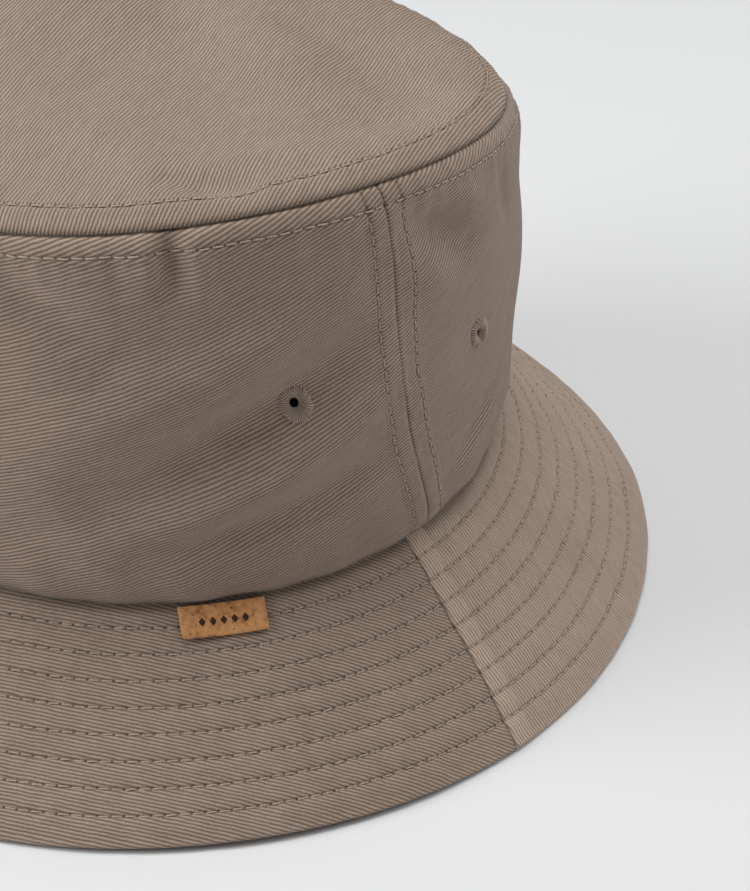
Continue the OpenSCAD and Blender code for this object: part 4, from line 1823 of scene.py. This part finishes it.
@dataclass
class Studio:
    """The camera, the lights and the paper floor. The camera's angles are in degrees.

    Attributes:
        azimuth: which side of the hat the camera stands on; 0 looks along +Y.
        elevation: above the horizon.
        distance: from the middle of the rim.
        pan: turn to the right after it has looked at the middle, then tilt and roll.
        sensor_width: of the long side of the sensor.
        lens: focal length.
        backdrop: colour of the pale surround.
        surround: how bright it is.
        lamps: each lamp's name, angle round the hat, height in degrees and power.
        lamp_size: how wide a lamp is, in metres.
        lamp_away: how far it is, in metres.
    """

    azimuth: float = 49
    elevation: float = 35.95
    distance: float = 700
    pan: float = -5.17
    tilt: float = 1.34
    roll: float = 0.81
    sensor_width: float = 36
    lens: float = 99.61
    backdrop: str = "#E7E7E7"
    surround: float = 0.31
    lamps: tuple[tuple[str, float, float, float], ...] = (
        ("left", -121, 29, 11.8), ("right", 49, 38, 4.4), ("top", 100, 84, 9.2))
    lamp_size: float = 0.85
    lamp_away: float = 1.4

    def build(self) -> None:
        """Sets up everything that isn't the hat."""
        self.camera()
        self.lights()
        self.floor()

    def camera(self) -> None:
        """Looks at the origin, then pans, tilts and rolls."""
        a, e = math.radians(self.azimuth), math.radians(self.elevation)
        back = Vector((math.sin(a) * math.cos(e), -math.cos(a) * math.cos(e), math.sin(e)))
        right = Vector((math.cos(a), math.sin(a), 0))
        up = back.cross(right)
        stand = back * self.distance * MM
        for angle, kind in ((self.pan, "pan"), (self.tilt, "tilt"), (self.roll, "roll")):
            axis = {"pan": up, "tilt": right, "roll": -back}[kind].copy()
            turn = Matrix.Rotation(math.radians(angle), 3, axis)
            back, right, up = turn @ back, turn @ right, turn @ up
        data = bpy.data.cameras.new("camera")
        data.sensor_width = self.sensor_width
        data.lens = self.lens
        data.clip_start, data.clip_end = 0.01, 50
        camera = bpy.data.objects.new("camera", data)
        camera.matrix_world = Matrix.Translation(stand) @ Matrix((right, up, back)).transposed().to_4x4()
        bpy.context.scene.collection.objects.link(camera)
        bpy.context.scene.camera = camera

    def lights(self) -> None:
        """Soft round lamps in a pale surround."""
        for name, angle, height, watts in self.lamps:
            a, e = math.radians(angle), math.radians(height)
            toward = Vector((math.cos(a) * math.cos(e), math.sin(a) * math.cos(e), math.sin(e)))
            data = bpy.data.lights.new(name, "AREA")
            data.shape = "DISK"
            data.size = self.lamp_size
            data.energy = watts
            lamp = bpy.data.objects.new(name, data)
            lamp.location = toward * self.lamp_away + Vector((0, 0, 0.06))
            lamp.rotation_euler = toward.to_track_quat("Z", "Y").to_euler()
            bpy.context.scene.collection.objects.link(lamp)
        world = bpy.data.worlds.new("surround")
        world.use_nodes = True
        world.node_tree.nodes["Background"].inputs["Color"].default_value = linear(self.backdrop)
        world.node_tree.nodes["Background"].inputs["Strength"].default_value = self.surround
        bpy.context.scene.world = world
        bpy.context.scene.view_settings.view_transform = "Standard"

    def floor(self) -> None:
        """A large sheet of paper under the hat."""
        reach = 6.0 / MM
        corners = np.array([(-1, -1, 0), (1, -1, 0), (1, 1, 0), (-1, 1, 0)]) * reach
        paper = new_object("paper_floor", corners, [[0, 1, 2, 3]], StudioPaper().material())


def main() -> None:
    """Builds the studio and then the hat, piece by piece."""
    Studio().build()
    size = HatSize.from_frame()
    finishes = Finishes.build()
    for part in (Brim(size, finishes), Crown(size, finishes), HeadBand(size, finishes),
                 CorkTab(size, finishes), CareLabel(finishes)):
        log.info("%s", type(part).__name__)
        part.build()


if __name__ == "__main__":
    main()
